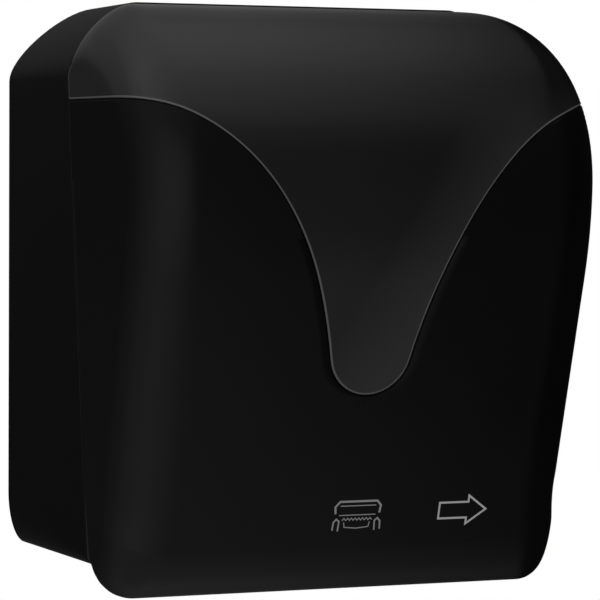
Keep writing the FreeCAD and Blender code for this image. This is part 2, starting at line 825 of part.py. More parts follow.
def lock_catch():
    """Slotted arm under the cover's rim; the lock's tongue turns into its slot."""
    arm = side_prism([(66, 353.4), (84, 354), (104, 357.9), (110, 357.9), (110, 365.4), (104, 365.2), (66, 361)],
                     13, 16)
    foot = box_between(6, 22, 104, 113, 361.4, 365.4)
    slot = box_between(12, 17, 74, 95, 357.2, 360.8)
    keep(feature("lock_catch", arm.fuse(foot).cut(slot)), "lock_catch")


# Chassis

def chassis_plate(side):
    name = "chassis_" + mirrored(side)
    rear = mm("plate_rear_depth")
    x = mm("plate_inner_x") if side > 0 else -mm("plate_inner_x") - mm("plate_thickness")
    top = mm("post_height")
    axis = mm("drum_depth")
    outline = [(rear, 44), (rear, 150), (axis - 16, 150), (axis - 9, top + 1),
               ((axis, top + 9), (axis + 9, top + 1)), (axis + 14, 158), (148, 162), (168, 148), (168, 60),
               (150, 42), (128, 42), (128, 34), (rear + 60, 34), (rear + 40, 44)]
    holes = [(mm("drum_depth"), mm("drum_height"), "bush_radius")]
    holes += [(depth, height, "tie_radius") for depth, height in tie_places()]
    holes.append((axis, mm("post_height"), "post_radius"))
    body = side_plate(name + "_plate", outline, holes, cell("plate_thickness"), x, windows=[pinch_slot()])
    flange_x = mm("plate_inner_x") + 1 if side > 0 else -mm("plate_inner_x") - 16
    flange = block(name + "_flange", "15", cell("plate_thickness"), "100", flange_x, rear, 47)
    solid = join(name + "_solid", body, flange)
    bores = [peg(f"{name}_bore{index}", cell("fastener_radius"), "8", place_x, rear - 2, height)
             for index, (place_x, height) in enumerate(chassis_screw_places()) if place_x * side > 0]
    return keep(cut(name + "_cut", solid, *bores), name)


def tie_places():
    return [(20.0, 54.0), (20.0, 140.0), (160.0, 72.0)]


def along_pinch(distance, across):
    """A place measured from the pinch roller's axis, outwards from the drum and across."""
    angle = math.radians(mm("pinch_angle"))
    depth, height = pinch_place()
    return (depth + distance * math.cos(angle) - across * math.sin(angle),
            height + distance * math.sin(angle) + across * math.cos(angle))


def pinch_place():
    angle = math.radians(mm("pinch_angle"))
    reach = mm("drum_radius") + mm("band_thickness") + mm("pinch_radius") + mm("pinch_gap")
    return (mm("drum_depth") + reach * math.cos(angle), mm("drum_height") + reach * math.sin(angle))


def pinch_slot():
    half = mm("pinch_block") / 2 + mm("pinch_block_play")
    outer = half + mm("pinch_travel") + mm("pinch_spring_room")
    return [along_pinch(-half, -half), along_pinch(outer, -half), along_pinch(outer, half),
            along_pinch(-half, half)]


def tie_rods():
    rods = []
    nuts = []
    half = mm("plate_inner_x") + mm("plate_thickness")
    for index, (depth, height) in enumerate(tie_places()):
        rods.append(rod(f"tie_rod{index}", cell("tie_radius"),
                        "2 * (Sizes.plate_inner_x + Sizes.plate_thickness + Sizes.tie_rod_end)",
                        -half - mm("tie_rod_end"), depth, height))
        for side in (-1, 1):
            start = half if side > 0 else -half - mm("tie_nut_thickness")
            nut = rod(f"tie_nut{index}_{mirrored(side)}", cell("tie_nut_radius"), cell("tie_nut_thickness"),
                      start, depth, height)
            bore = rod(f"tie_nut_bore{index}_{mirrored(side)}", cell("tie_radius"),
                       "Sizes.tie_nut_thickness + 2", start - 1, depth, height)
            nuts.append(cut(f"tie_nut_cut{index}_{mirrored(side)}", nut, bore))
    keep(group("tie_rods", *rods), "tie_rods")
    keep(group("tie_rod_nuts", *nuts), "tie_rod_nuts")


def around_drum(radius, degrees):
    angle = math.radians(degrees)
    return (mm("drum_depth") + radius * math.cos(angle), mm("drum_height") + radius * math.sin(angle))


def guides():
    """Two bent sheets that wrap the drum's underside and lead the paper down to the exit."""
    inner = mm("guide_radius")
    outer = inner + mm("guide_thickness")
    length = "2 * Sizes.plate_inner_x - 0.4"
    start = -mm("plate_inner_x") + 0.2
    rear = [around_drum(inner, 200), (around_drum(inner, 230), around_drum(inner, 262)), (96, 22), (94, 22),
            around_drum(outer, 261), (around_drum(outer, 230), around_drum(outer, 200))]
    keep(side_plate("chute_rear_guide", rear, [], length, start), "chute_rear_guide")
    front = [around_drum(inner, -12), (around_drum(inner, -36), around_drum(inner, -58)), (120, 22),
             (122, 22), around_drum(outer, -56), (around_drum(outer, -36), around_drum(outer, -12))]
    keep(side_plate("chute_front_guide", front, [], length, start), "chute_front_guide")


def chassis_screws():
    keep(screw_set("chassis_screws", chassis_screw_places()), "chassis_screws")
    keep(screw_set("bracket_screws", bracket_screw_places()), "bracket_screws")


def screw_set(name, places):
    screws = []
    head_depth = mm("plate_rear_depth") + mm("plate_thickness")
    recess_start = head_depth + mm("fastener_head_thickness") - mm("recess_depth")
    long_side, short_side, deep = cell("recess_length"), cell("recess_width"), "Sizes.recess_depth + 0.2"
    half_long, half_short = mm("recess_length") / 2, mm("recess_width") / 2
    for index, (x, height) in enumerate(places):
        shank = peg(f"{name}_shank{index}", cell("fastener_radius"), cell("fastener_length"), x,
                    head_depth - mm("fastener_length"), height)
        head = peg(f"{name}_head{index}", cell("fastener_head_radius"), cell("fastener_head_thickness"), x,
                   head_depth, height)
        recess_a = block(f"{name}_recess_a{index}", long_side, deep, short_side,
                         x - half_long, recess_start, height - half_short)
        recess_b = block(f"{name}_recess_b{index}", short_side, deep, long_side,
                         x - half_short, recess_start, height - half_long)
        screws.append(cut(f"{name}_screw{index}", join(f"{name}_solid{index}", shank, head), recess_a, recess_b))
    return group(name, *screws)


# Drum, knife and crank

def drum_halves():
    """Two half shells that meet in the shaft's plane; the lower one has the slot for the knife."""
    depth, height = mm("drum_depth"), mm("drum_height")
    half = mm("drum_length") / 2
    for name, up in (("drum_upper_half", True), ("drum_lower_half", False)):
        barrel = rod(name + "_barrel", cell("drum_radius"), cell("drum_length"), -half, depth, height)
        hollow = rod(name + "_hollow", "Sizes.drum_radius - Sizes.drum_wall",
                     "Sizes.drum_length - 2 * Sizes.drum_wall", -half + mm("drum_wall"), depth, height)
        shell = cut(name + "_shell", barrel, hollow)
        sleeve = rod(name + "_sleeve", "Sizes.shaft_radius + Sizes.drum_sleeve_wall",
                     "Sizes.drum_length - 2 * Sizes.drum_wall", -half + mm("drum_wall"), depth, height)
        solid = join(name + "_solid", shell, sleeve)
        tools = [rod(name + "_bore", cell("shaft_radius"), "Sizes.drum_length + 2", -half - 1, depth, height)]
        low = height - 50 if up else height
        tools.append(block(name + "_other", "Sizes.drum_length + 4", "100", "50", -half - 2, depth - 50, low))
        if not up:
            tools.append(rod(name + "_pivot", cell("pivot_bore_radius"), "Sizes.drum_length + 2", -half - 1,
                             depth + mm("pivot_forward"), height + mm("pivot_rise")))
            tools.append(block(name + "_slot", cell("slot_length"), "Sizes.slot_rear + Sizes.slot_front", "20",
                               -mm("slot_length") / 2, depth - mm("slot_rear"), height - mm("drum_radius") - 2))
        keep(cut(name + "_cut", solid, *tools), name)


def drum_shaft():
    start = -mm("plate_inner_x") - mm("plate_thickness") - 10
    length = mm("knob_start_x") + mm("knob_length") - 4 - start
    shaft = rod("drum_shaft", cell("shaft_radius"), f"{length}", start, mm("drum_depth"), mm("drum_height"))
    keep(shaft, "drum_shaft")


def friction_bands():
    depth, height = mm("drum_depth"), mm("drum_height")
    bands = []
    for index, x in enumerate((-84.0, -30.0, 30.0, 84.0)):
        start = x - mm("band_width") / 2
        outer = rod(f"band{index}", "Sizes.drum_radius + Sizes.band_thickness", cell("band_width"),
                    start, depth, height)
        inner = rod(f"band_bore{index}", cell("drum_radius"), "Sizes.band_width + 2", start - 1, depth, height)
        slot = block(f"band_slot{index}", "Sizes.band_width + 2", "Sizes.slot_rear + Sizes.slot_front + 2", "20",
                     start - 1, depth - mm("slot_rear") - 1, height - mm("drum_radius") - 4)
        bands.append(cut(f"band_cut{index}", outer, inner, slot))
    keep(group("friction_bands", *bands), "friction_bands")


def drum_bushes():
    depth, height = mm("drum_depth"), mm("drum_height")
    for side in (-1, 1):
        name = "drum_bush_" + mirrored(side)
        outside = mm("plate_inner_x") + mm("plate_thickness")
        body_x = mm("plate_inner_x") if side > 0 else -outside
        flange_x = outside if side > 0 else -outside - mm("bush_flange_thickness")
        sleeve = rod(name + "_sleeve", cell("bush_radius"), cell("plate_thickness"), body_x, depth, height)
        flange = rod(name + "_flange", cell("bush_flange_radius"), cell("bush_flange_thickness"),
                     flange_x, depth, height)
        bore = rod(name + "_bore", cell("shaft_bore_radius"), "20", side * 116 - 10, depth, height)
        keep(cut(name + "_cut", join(name + "_solid", sleeve, flange), bore), name)


def crank():
    """Disc and pin at the shaft's left end; the return spring hangs on the pin."""
    depth, height = mm("drum_depth"), mm("drum_height")
    disc_x = crank_disc_x()
    disc = rod("crank_plate", cell("crank_radius"), cell("crank_thickness"), disc_x, depth, height)
    bore = rod("crank_bore", cell("shaft_radius"), "20", disc_x - 5, depth, height)
    pin_hole = rod("crank_pin_hole", cell("crank_pin_radius"), "20", disc_x - 5, depth,
                   height + mm("crank_throw"))
    keep(cut("crank_disc", disc, bore, pin_hole), "crank_disc")
    pin_x = disc_x + mm("crank_thickness") - mm("crank_pin_length") - mm("crank_pin_extra")
    pin = rod("crank_pin_stem", cell("crank_pin_radius"), "Sizes.crank_pin_length + Sizes.crank_pin_extra",
              pin_x, depth, height + mm("crank_throw"))
    head = rod("crank_pin_head", "Sizes.crank_pin_radius + 1", "1.2", pin_x - 1.2, depth,
               height + mm("crank_throw"))
    keep(join("crank_pin", pin, head), "crank_pin")


def crank_disc_x():
    return (-mm("plate_inner_x") - mm("plate_thickness") - mm("bush_flange_thickness") - mm("crank_play")
            - mm("crank_thickness"))


def helix_wire(radius, pitch, turns, wire_radius, base, turn):
    """A round wire wound on a helix that starts at base along the turned Z axis."""
    path = Part.makeHelix(pitch, pitch * turns, radius)
    ring = Part.Wire(Part.makeCircle(wire_radius, FreeCAD.Vector(radius, 0, 0), FreeCAD.Vector(0, 1, 0)))
    coil = Part.Wire(path).makePipeShell([ring], True, True)
    coil.Placement = FreeCAD.Placement(base, turn)
    return coil


def ring_eye(radius, wire_radius, centre):
    return Part.makeTorus(radius, wire_radius, centre, FreeCAD.Vector(1, 0, 0))


def return_spring():
    wire = 0.7
    eye = 4.0
    x = crank_disc_x() - mm("return_spring_offset")
    depth = mm("drum_depth")
    low = mm("drum_height") + mm("crank_throw")
    high = mm("post_height")
    bottom = low + eye + 1.5
    top = high - eye - 1.5
    turns = 16
    coil_radius = 4.4
    coil = helix_wire(coil_radius, (top - bottom) / turns, turns, wire, point(x, depth, bottom), ALONG_Z)
    hooks = [ring_eye(eye, wire, point(x, depth, height)) for height in (low, high)]
    for height, eye_edge in ((bottom, low + eye), (top, high - eye)):
        start = point(x, depth, eye_edge)
        end = point(x + coil_radius, depth, height)
        reach = end - start
        hooks.append(Part.makeCylinder(wire, reach.Length, start, reach))
        hooks.append(Part.makeSphere(wire, end))
    keep(feature("return_spring", coil.multiFuse(hooks)), "return_spring")
    start = x - 4
    length = -mm("plate_inner_x") - start
    stem = rod("spring_post_stem", cell("post_radius"), f"{length}", start, depth, high)
    head = rod("spring_post_head", "Sizes.post_radius + 1.2", "1.4", start - 1.4, depth, high)
    keep(join("spring_post", stem, head), "spring_post")


def feed_knob():
    """Hand wheel outside the housing's right wall, with finger notches round its rim."""
    depth, height = mm("drum_depth"), mm("drum_height")
    start = mm("knob_start_x")
    body = rod("knob_body", cell("knob_radius"), cell("knob_length"), start, depth, height)
    bore = rod("knob_bore", cell("shaft_radius"), "Sizes.knob_length - 4", start, depth, height)
    dish = rod("knob_dish", "Sizes.knob_radius - 5", "2", start + mm("knob_length") - 2, depth, height)
    notches = []
    count = 20
    for index in range(count):
        angle = 2 * math.pi * index / count
        reach = mm("knob_radius") + 0.6
        notches.append(rod(f"knob_notch{index}", cell("knob_notch_radius"), "11",
                           start + mm("knob_length") - 10, depth + reach * math.cos(angle),
                           height + reach * math.sin(angle)))
    keep(cut("feed_knob", body, bore, dish, *notches), "feed_knob")


def knife_pivot():
    return (mm("drum_depth") + mm("pivot_forward"), mm("drum_height") + mm("pivot_rise"))


def blade_heading():
    """Direction from the knife's pivot to the blade's tip, with the knife drawn in."""
    forward = mm("blade_tip_forward") - mm("pivot_forward")
    rise = mm("blade_tip_rise") - mm("pivot_rise")
    length = math.hypot(forward, rise)
    return (forward / length, rise / length)


def from_pivot(distance, across):
    forward, rise = blade_heading()
    depth, height = knife_pivot()
    return (depth + distance * forward - across * rise, height + distance * rise + across * forward)


def knife():
    depth, height = knife_pivot()
    half = mm("carrier_length") / 2
    thick, reach = mm("carrier_thickness"), mm("carrier_reach")
    bar = side_prism([from_pivot(0, 0), from_pivot(reach, 0), from_pivot(reach, thick), from_pivot(0, thick)],
                     -half, half)
    boss = x_cylinder(mm("knife_boss_radius"), -half, half, depth, height)
    bore = x_cylinder(mm("pivot_radius"), -half - 1, half + 1, depth, height)
    rivets = []
    under_head = mm("rivet_head_thickness") + mm("blade_thickness")
    start = from_pivot(mm("rivet_distance"), -under_head)
    forward, rise = blade_heading()
    axis = FreeCAD.Vector(0, rise, forward)
    for x in (-80.0, -27.0, 27.0, 80.0):
        head = Part.makeCylinder(mm("rivet_head_radius"), mm("rivet_head_thickness"), point(x, *start), axis)
        stem = Part.makeCylinder(mm("rivet_radius"), under_head + mm("rivet_grip"), point(x, *start), axis)
        rivets.append(head.fuse(stem))
    rivet_set = Part.makeCompound(rivets)
    keep(feature("knife_carrier", bar.fuse(boss).cut([bore, rivet_set])), "knife_carrier")
    keep(feature("knife_blade", serrated_blade(half).cut(rivet_set)), "knife_blade")
    keep(feature("blade_rivets", rivet_set), "blade_rivets")
    pivot = rod("knife_pivot_rod", cell("pivot_radius"), "Sizes.drum_length + 3 + Sizes.drum_end_play",
                -mm("drum_length") / 2 - mm("drum_end_play"), depth, height)
    keep(pivot, "knife_pivot_rod")


def serrated_blade(half):
    """Thin steel strip with a row of teeth along its free edge."""
    thick = mm("blade_thickness")
    pitch = mm("tooth_pitch")
    root = mm("blade_length") - mm("tooth_depth")
    count = int(2 * half // pitch)
    start = -count * pitch / 2
    corners = [(start, mm("blade_start"))]
    for tooth in range(count):
        corners.append((start + tooth * pitch, root))
        corners.append((start + (tooth + 0.5) * pitch, mm("blade_length")))
    corners.append((-start, root))
    corners.append((-start, mm("blade_start")))
    places = [point(x, *from_pivot(reach, -thick)) for x, reach in corners]
    face = Part.Face(Part.makePolygon(places + places[:1]))
    forward, rise = blade_heading()
    return face.extrude(FreeCAD.Vector(0, rise, forward) * thick)


def follower():
    """Arm at the drum's right end that the knife cam pushes, and its roller."""
    depth, height = knife_pivot()
    start = mm("drum_length") / 2 + mm("drum_end_play")
    tip = follower_place()
    reach = math.hypot(tip[0] - depth, tip[1] - height)
    tip_radius, pin_radius = mm("follower_arm_radius"), mm("follower_pin_radius")
    rise, run = tip_radius * (tip[0] - depth) / reach, tip_radius * (tip[1] - height) / reach
    corners = [(depth - run, height + rise), (tip[0] - run, tip[1] + rise),
               (tip[0] + run, tip[1] - rise), (depth + run, height - rise)]
    end = start + mm("follower_arm_thickness")
    bar = side_prism(corners, start, end)
    ends = [x_cylinder(mm("follower_boss_radius"), start, end, depth, height),
            x_cylinder(tip_radius, start, end, *tip)]
    bores = [x_cylinder(mm("pivot_radius"), start - 1, end + 1, depth, height),
             x_cylinder(pin_radius, start - 1, end + 1, *tip)]
    keep(feature("follower_arm", bar.fuse(ends).cut(bores)), "follower_arm")
    roller_x = end + mm("follower_play")
    roller = rod("follower_body", cell("follower_radius"), cell("follower_length"), roller_x, *tip)
    bore = rod("follower_bore", cell("follower_pin_radius"), "Sizes.follower_length + 2", roller_x - 1, *tip)
    keep(cut("follower_roller", roller, bore), "follower_roller")
    pin = rod("follower_stem", cell("follower_pin_radius"),
              "Sizes.follower_arm_thickness + Sizes.follower_play + Sizes.follower_length", start, *tip)
    head = rod("follower_head", cell("follower_pin_head_radius"), cell("follower_pin_head_thickness"),
               roller_x + mm("follower_length"), *tip)
    keep(join("follower_pin", pin, head), "follower_pin")


def follower_place():
    return (mm("drum_depth") + mm("follower_forward"), mm("drum_height") + mm("follower_rise"))


def knife_cam():
    """Ring on the right chassis plate; its lobe is where the follower would be pushed inwards."""
    depth, height = mm("drum_depth"), mm("drum_height")
    x_high = mm("plate_inner_x")
    x_low = x_high - mm("cam_ring_thickness")
    ring = x_cylinder(mm("cam_ring_radius"), x_low, x_high, depth, height)
    track = x_cylinder(mm("cam_track_radius"), x_low - 1, x_high + 1, depth, height)
    lobe_zone = side_prism([(depth, height), around_drum(60, 205), around_drum(60, 240), around_drum(60, 275)],
                           x_low, x_high)
    lobe = track.common(lobe_zone).cut(x_cylinder(mm("cam_lobe_radius"), x_low - 1, x_high + 1, depth, height))
    keep(feature("knife_cam", ring.cut(track).fuse(lobe).removeSplitter()), "knife_cam")


# Pinch roller

def pinch_roller():
    depth, height = pinch_place()
    half = mm("pinch_length") / 2
    sleeve = rod("pinch_sleeve_body", cell("pinch_radius"), cell("pinch_length"), -half, depth, height)
    bore = rod("pinch_sleeve_bore", cell("pinch_bore_radius"), "Sizes.pinch_length + 2", -half - 1, depth, height)
    keep(cut("pinch_roller_sleeve", sleeve, bore), "pinch_roller_sleeve")
    reach = mm("plate_inner_x") + mm("plate_thickness") + 1.5
    keep(rod("pinch_shaft", cell("pinch_shaft_radius"), "2 * (Sizes.plate_inner_x + Sizes.plate_thickness + 1.5)",
             -reach, depth, height), "pinch_shaft")
    springs = []
    deep = mm("pinch_block") / 2
    overhang, play = mm("pinch_block_overhang"), mm("pinch_block_play")
    inside, outside = mm("plate_inner_x"), mm("plate_inner_x") + mm("plate_thickness")

    def section(across):
        return [along_pinch(-deep, -across), along_pinch(deep, -across), along_pinch(deep, across),
                along_pinch(-deep, across)]

    for side in (-1, 1):
        name = "pinch_block_" + mirrored(side)
        x_low = inside - overhang if side > 0 else -outside - overhang
        x_high = outside + overhang if side > 0 else -inside + overhang
        body = side_prism(section(deep), x_low, x_high)
        lip_low = x_low if side < 0 else outside + play
        lip_high = -outside - play if side < 0 else x_high
        lip = side_prism(section(deep + mm("pinch_lip")), lip_low, lip_high)
        bore = x_cylinder(mm("pinch_shaft_radius"), x_low - 1, x_high + 1, depth, height)
        keep(feature(name, body.fuse(lip).cut(bore).removeSplitter()), name)
        springs.append(pinch_spring(side))
    keep(feature("pinch_springs", Part.makeCompound(springs)), "pinch_springs")


def pinch_spring(side):
    """Compression spring between a bearing block and the end of its slot."""
    wire = mm("coil_wire_radius")
    margin = wire + mm("spring_play")
    start = mm("pinch_block") / 2 + margin
    slot_end = mm("pinch_block") / 2 + mm("pinch_block_play") + mm("pinch_travel") + mm("pinch_spring_room")
    stop = slot_end - margin
    turns = 5
    angle = math.radians(mm("pinch_angle"))
    place = along_pinch(start, 0)
    x = side * (mm("plate_inner_x") + mm("plate_thickness") / 2)
    turn = FreeCAD.Rotation(FreeCAD.Vector(0, 0, 1), FreeCAD.Vector(0, -math.cos(angle), math.sin(angle)))
    return helix_wire(3.0, (stop - start) / turns, turns, wire, point(x, *place), turn)


# Roll arms and hubs

def roll_arm(side):
    """Arm that swings out sideways on an upright pin and carries a hub at its front end."""
    name = "roll_arm_" + mirrored(side)
    height = mm("roll_height")
    inner, thick = mm("arm_inner_x"), mm("arm_thickness")
    x_low = inner if side > 0 else -inner - thick
    pivot = mm("arm_pivot_depth")
    tip = mm("roll_depth")
    plate = side_prism([(pivot, height - 24), (pivot, height + 24), (tip - 20, height + 18), (tip, height + 15),
                        (tip, height - 15), (tip - 20, height - 18)], x_low, x_low + thick)
    end = x_cylinder(mm("arm_tip_radius"), x_low, x_low + thick, tip, height)
    barrels = []
    pivot_x = side * mm("arm_pivot_x")
    long, gap = mm("arm_barrel_length"), mm("arm_barrel_gap")
    web_low, web_high = min(pivot_x, side * inner), max(pivot_x, side * inner)
    for low in (height - gap / 2 - long, height + gap / 2):
        barrels.append(Part.makeCylinder(mm("arm_barrel_radius"), long, point(pivot_x, pivot, low)))
        barrels.append(box_between(web_low, web_high, pivot - 2, pivot + 3, low, low + long))
    window = side_prism([(pivot + 22, height - 12), (pivot + 22, height + 12), (tip - 24, height + 9),
                         (tip - 24, height - 9)], x_low - 1, x_low + thick + 1)
    bores = [x_cylinder(mm("hub_bore_radius"), x_low - 1, x_low + thick + 1, tip, height),
             Part.makeCylinder(mm("arm_bore_radius"), 80, point(pivot_x, pivot, height - 40)), window,
             Part.makeCylinder(mm("arm_barrel_radius") + 1.6, gap, point(pivot_x, pivot, height - gap / 2))]
    keep(feature(name, plate.fuse([end] + barrels).cut(bores).removeSplitter()), name)


def roll_hub(side):
    """Plug that fits the paper roll's core, with a snap stub that turns in the arm."""
    name = "roll_hub_" + mirrored(side)
    depth, height = mm("roll_depth"), mm("roll_height")
    inner = mm("arm_inner_x")
    flange = mm("hub_flange_thickness")
    steps = [(cell("hub_radius"), cell("hub_length")), (cell("hub_flange_radius"), cell("hub_flange_thickness")),
             (cell("hub_stub_radius"), "Sizes.arm_thickness + Sizes.hub_stub_extra"),
             ("Sizes.hub_stub_radius + 1", cell("hub_snap_thickness"))]
    length = (mm("hub_length") + flange + mm("arm_thickness") + mm("hub_stub_extra")
              + mm("hub_snap_thickness"))
    start = inner - mm("hub_play") - flange - mm("hub_length")
    if side < 0:
        steps = steps[::-1]
        start = -start - length
    body = turned(name + "_body", steps, start, depth, height)
    face = start if side > 0 else start + length - mm("hub_hollow_depth")
    hollow = rod(name + "_hollow", "Sizes.hub_radius - Sizes.hub_wall", cell("hub_hollow_depth"),
                 face, depth, height)
    keep(cut(name + "_cut", body, hollow), name)


def arm_bracket(side):
    """Plate on two bosses with an ear above and below the arm's barrel."""
    name = "arm_bracket_" + mirrored(side)
    height = mm("roll_height")
    rear = mm("plate_rear_depth")
    pivot_x = side * mm("arm_pivot_x")
    x_low = pivot_x - 7 if side > 0 else pivot_x - 20
    plate = block(name + "_plate", "27", cell("plate_thickness"), "68", x_low, rear, height - 34)
    ears = []
    for index, low in enumerate((height - 31, height + 28)):
        ears.append(block(f"{name}_ear{index}", "12", "15", "3", pivot_x - 6, rear, low))
        ears.append(post(f"{name}_ear_round{index}", "5.5", "3", pivot_x, mm("arm_pivot_depth"), low))
    solid = join(name + "_solid", plate, *ears)
    bores = [post(name + "_pin_bore", cell("arm_pin_radius"), "90", pivot_x, mm("arm_pivot_depth"), height - 45)]
    for index, (x, place) in enumerate(bracket_screw_places()):
        if x * side > 0:
            bores.append(peg(f"{name}_bore{index}", cell("fastener_radius"), "8", x, rear - 2, place))
    keep(cut(name + "_cut", solid, *bores), name)


def arm_pins():
    pins = []
    springs = []
    height = mm("roll_height")
    for side in (-1, 1):
        x = side * mm("arm_pivot_x")
        pin = post(f"arm_pin_{mirrored(side)}", cell("arm_pin_radius"), "64", x, mm("arm_pivot_depth"),
                   height - 32)
        head = post(f"arm_pin_head_{mirrored(side)}", "Sizes.arm_pin_radius + 1.5", "1.5", x,
                    mm("arm_pivot_depth"), height + 31.2)
        pins.append(join(f"arm_pin_solid_{mirrored(side)}", pin, head))
        springs.append(arm_spring(side))
    keep(group("arm_pins", *pins), "arm_pins")
    keep(feature("arm_springs", Part.makeCompound(springs)), "arm_springs")


def arm_spring(side):
    """Torsion spring round the arm's pin, in the gap between the barrels."""
    wire = mm("coil_wire_radius")
    x = side * mm("arm_pivot_x")
    height = mm("roll_height")
    pivot = mm("arm_pivot_depth")
    radius = 3.6
    turns = 5
    coil = helix_wire(radius, 2.0, turns, wire, point(x, pivot, height - 5), ALONG_Z)
    leg = Part.makeCylinder(wire, 6.2, point(x + radius, pivot, height - 5), FreeCAD.Vector(0, 1, 0))
    return coil.multiFuse([leg, Part.makeSphere(wire, point(x + radius, pivot, height - 5))])


rear_housing()
cover_pieces()
hinge_pins()
lock()
lock_catch()
chassis_plate(-1)
chassis_plate(1)
tie_rods()
guides()
chassis_screws()
drum_halves()
drum_shaft()
friction_bands()
drum_bushes()
crank()
return_spring()
feed_knob()
knife()
follower()
knife_cam()
pinch_roller()
for arm_side in (-1, 1):
    roll_arm(arm_side)
    roll_hub(arm_side)
    arm_bracket(arm_side)
arm_pins()

doc.recompute()

for item in doc.Objects:
    if "Invalid" in item.State or "Error" in item.State:
        raise ValueError(f"{item.Name} did not rebuild")
for item in nodes:
    shape = item.Shape
    if shape.isNull() or not shape.isValid() or not shape.Solids:
        raise ValueError(f"{item.Label} has no valid solid")
    shape.exportStep(f"parts/{item.Label}.step")
print(len(nodes), "nodes written")
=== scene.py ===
import math

import bmesh
import bpy
from mathutils import Matrix, Vector


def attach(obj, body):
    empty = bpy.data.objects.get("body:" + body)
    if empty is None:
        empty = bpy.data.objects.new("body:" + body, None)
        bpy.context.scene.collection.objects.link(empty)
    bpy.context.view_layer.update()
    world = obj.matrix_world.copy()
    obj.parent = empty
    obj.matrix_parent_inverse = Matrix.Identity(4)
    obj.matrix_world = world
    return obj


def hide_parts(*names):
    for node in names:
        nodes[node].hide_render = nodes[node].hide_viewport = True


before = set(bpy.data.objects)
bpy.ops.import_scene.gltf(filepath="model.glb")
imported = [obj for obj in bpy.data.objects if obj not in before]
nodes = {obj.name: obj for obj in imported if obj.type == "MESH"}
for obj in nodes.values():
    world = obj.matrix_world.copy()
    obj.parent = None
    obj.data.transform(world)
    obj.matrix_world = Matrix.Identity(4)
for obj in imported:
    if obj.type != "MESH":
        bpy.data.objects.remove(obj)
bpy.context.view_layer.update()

# Autocut towel dispenser on a wall. The object's sizes are in millimetres. Depth is counted from the wall,
# and height from a level close to the cover's lowest edge, ORIGIN_HEIGHT below the frame's origin. place()
# turns them into the frame's metres.

WIDTH = 320.0
HEIGHT = 372.0
DEPTH = 238.0
ORIGIN_HEIGHT = 200.0
WALL = 3.0

# Seam between housing and cover, a straight line seen from the side
SEAM_FOOT_DEPTH = 142.4
SEAM_TILT = 0.1136
SEAM_GAP = 0.5
SEAM_BLEND = 12.0
HOUSING_FOOT = 18.5
HOUSING_STEP = 1.0

# Side profile of the cover
CROWN_HEIGHT = 258.5
CROWN_FORWARD = 76.0
CROWN_RISE = 69.0
CROWN_SLOPE = 0.03
FRONT_LEAN = 0.26
LEAN_BLEND = 60.0
NOSE_START = 28.0
NOSE_FRONT_REACH = 10.0
NOSE_BACK_REACH = 47.5
NOSE_ANGLE = 76.0
NOSE_CENTRE = 70.0

# Roundings of the cover. The powers say how late over the crown its corner widens and gets softer
EDGE_RADIUS = 35.0
SEAM_CORNER = 48.5
CORNER_POWER = 12
SOFTNESS_POWER = 4
FOOT_CORNER = 6.0
FOOT_FADE = 0.325
SIDE_TAPER = 0.013

# Corners of the housing at the wall, as width and height
WALL_CORNER = (61.0, 49.0)
WALL_FOOT = (12.5, 34.5)

# Bezier handles of a quarter circle and of a softer corner, as a share of the corner's size
ROUND = 0.5523
SOFT = 0.34

# Window: a round tongue at its foot and wings that run out past the flanks
TONGUE_RADIUS = 28.0
TONGUE_HEIGHT = 153.5
TONGUE_FLARE = 12.0
TONGUE_REACH = 120.0
WING_HEIGHT = 309.5
WING_REACH = 48.0
WING_OVERRUN = 5.0
WINDOW_GAP = 0.1
NO_WINDOW = -1.0
ALL_WINDOW = 10 * WIDTH

# Edges as steps of (distance back from the edge, depth under the skin): the cover's has a sunk band by the
# window, coloured near black as painted shade of the gap, and the pane's a flat polished band and a bevel,
# coloured lighter grey as a painted highlight
COVER_STEPS = ((1.1, 0.0), (0.7, 0.25), (0.0, 0.7))
PANE_STEPS = ((1.2, 0.0), (0.5, 0.0), (0.0, 0.5))

# Inside of the cover: ledge under the window, rim behind the seam, ribs with the hinge's eyes
INSIDE_GAP = 0.02
LEDGE_WIDTH = 5.0
LEDGE_THICKNESS = 2.0
LEDGE_SETBACK = 0.5
RIM_WIDTH = 8.0
HINGE = (154.0, 10.0)
EYE_RADIUS = 5.5
RIB_X = (140.4, 145.0)
RIB_TOP = 34.0

# Housing: bevel of its edges, and what is cut from it or stands on it
CUP_EDGE = 0.3
EXIT_LOW = (-114.6, 88.0, 10.0)
EXIT_HIGH = (114.6, 150.0, 40.0)
SCREW_X = 105.0
SCREW_HEIGHTS = (100.0, 300.0)
SCREW_HOLE_RADIUS = 2.75
SCREW_HOLE_DEPTHS = (-2.0, 8.0)
DRUM_AXIS = (100.0, 96.0)
KNOB_OPENING_RADIUS = 21.5
KNOB_OPENING_X = (150.0, 166.0)
LOCK_DEPTH = 80.0
LOCK_RADIUS = 9.0
LOCK_CUT = 8.0
LOCK_SEAT_RADIUS = 11.5
LOCK_SEAT = 1.2
CUT_ABOVE = 4.0
BOSS_RADIUS = 5.0
BOSS_DEPTHS = (2.5, 9.0)
BOSSES = ((125, 64), (125, 132), (132, 230), (132, 282))
LUG_X = (134.5, 140.0)
LUG_OUTLINE = ((112, 20.5), (112, 32.5), (136, 32.5), (158, 13.5), (154, 4.5), (149.5, 7), (140, 20.5))

# Opening for the paper in the cover's foot
CUT_HALF = 140.6
CUT_DEPTH = 158.0
MOST_CUT = 0.98

# The cover's skin is a surface of rows and shares. Rows start at the seam's foot and run over the nose, the
# front and the crown. Shares start in the middle of the front and run round the corner to the seam
NOSE_MIDDLE = 0.5
RIB_END = 0.6
NOSE_END = 1.0
FRONT_END = 2.0
CROWN_LAST = 2.9
RIM_END = 2.98
CROWN_END = 3.0
AT_SEAM = 3.0

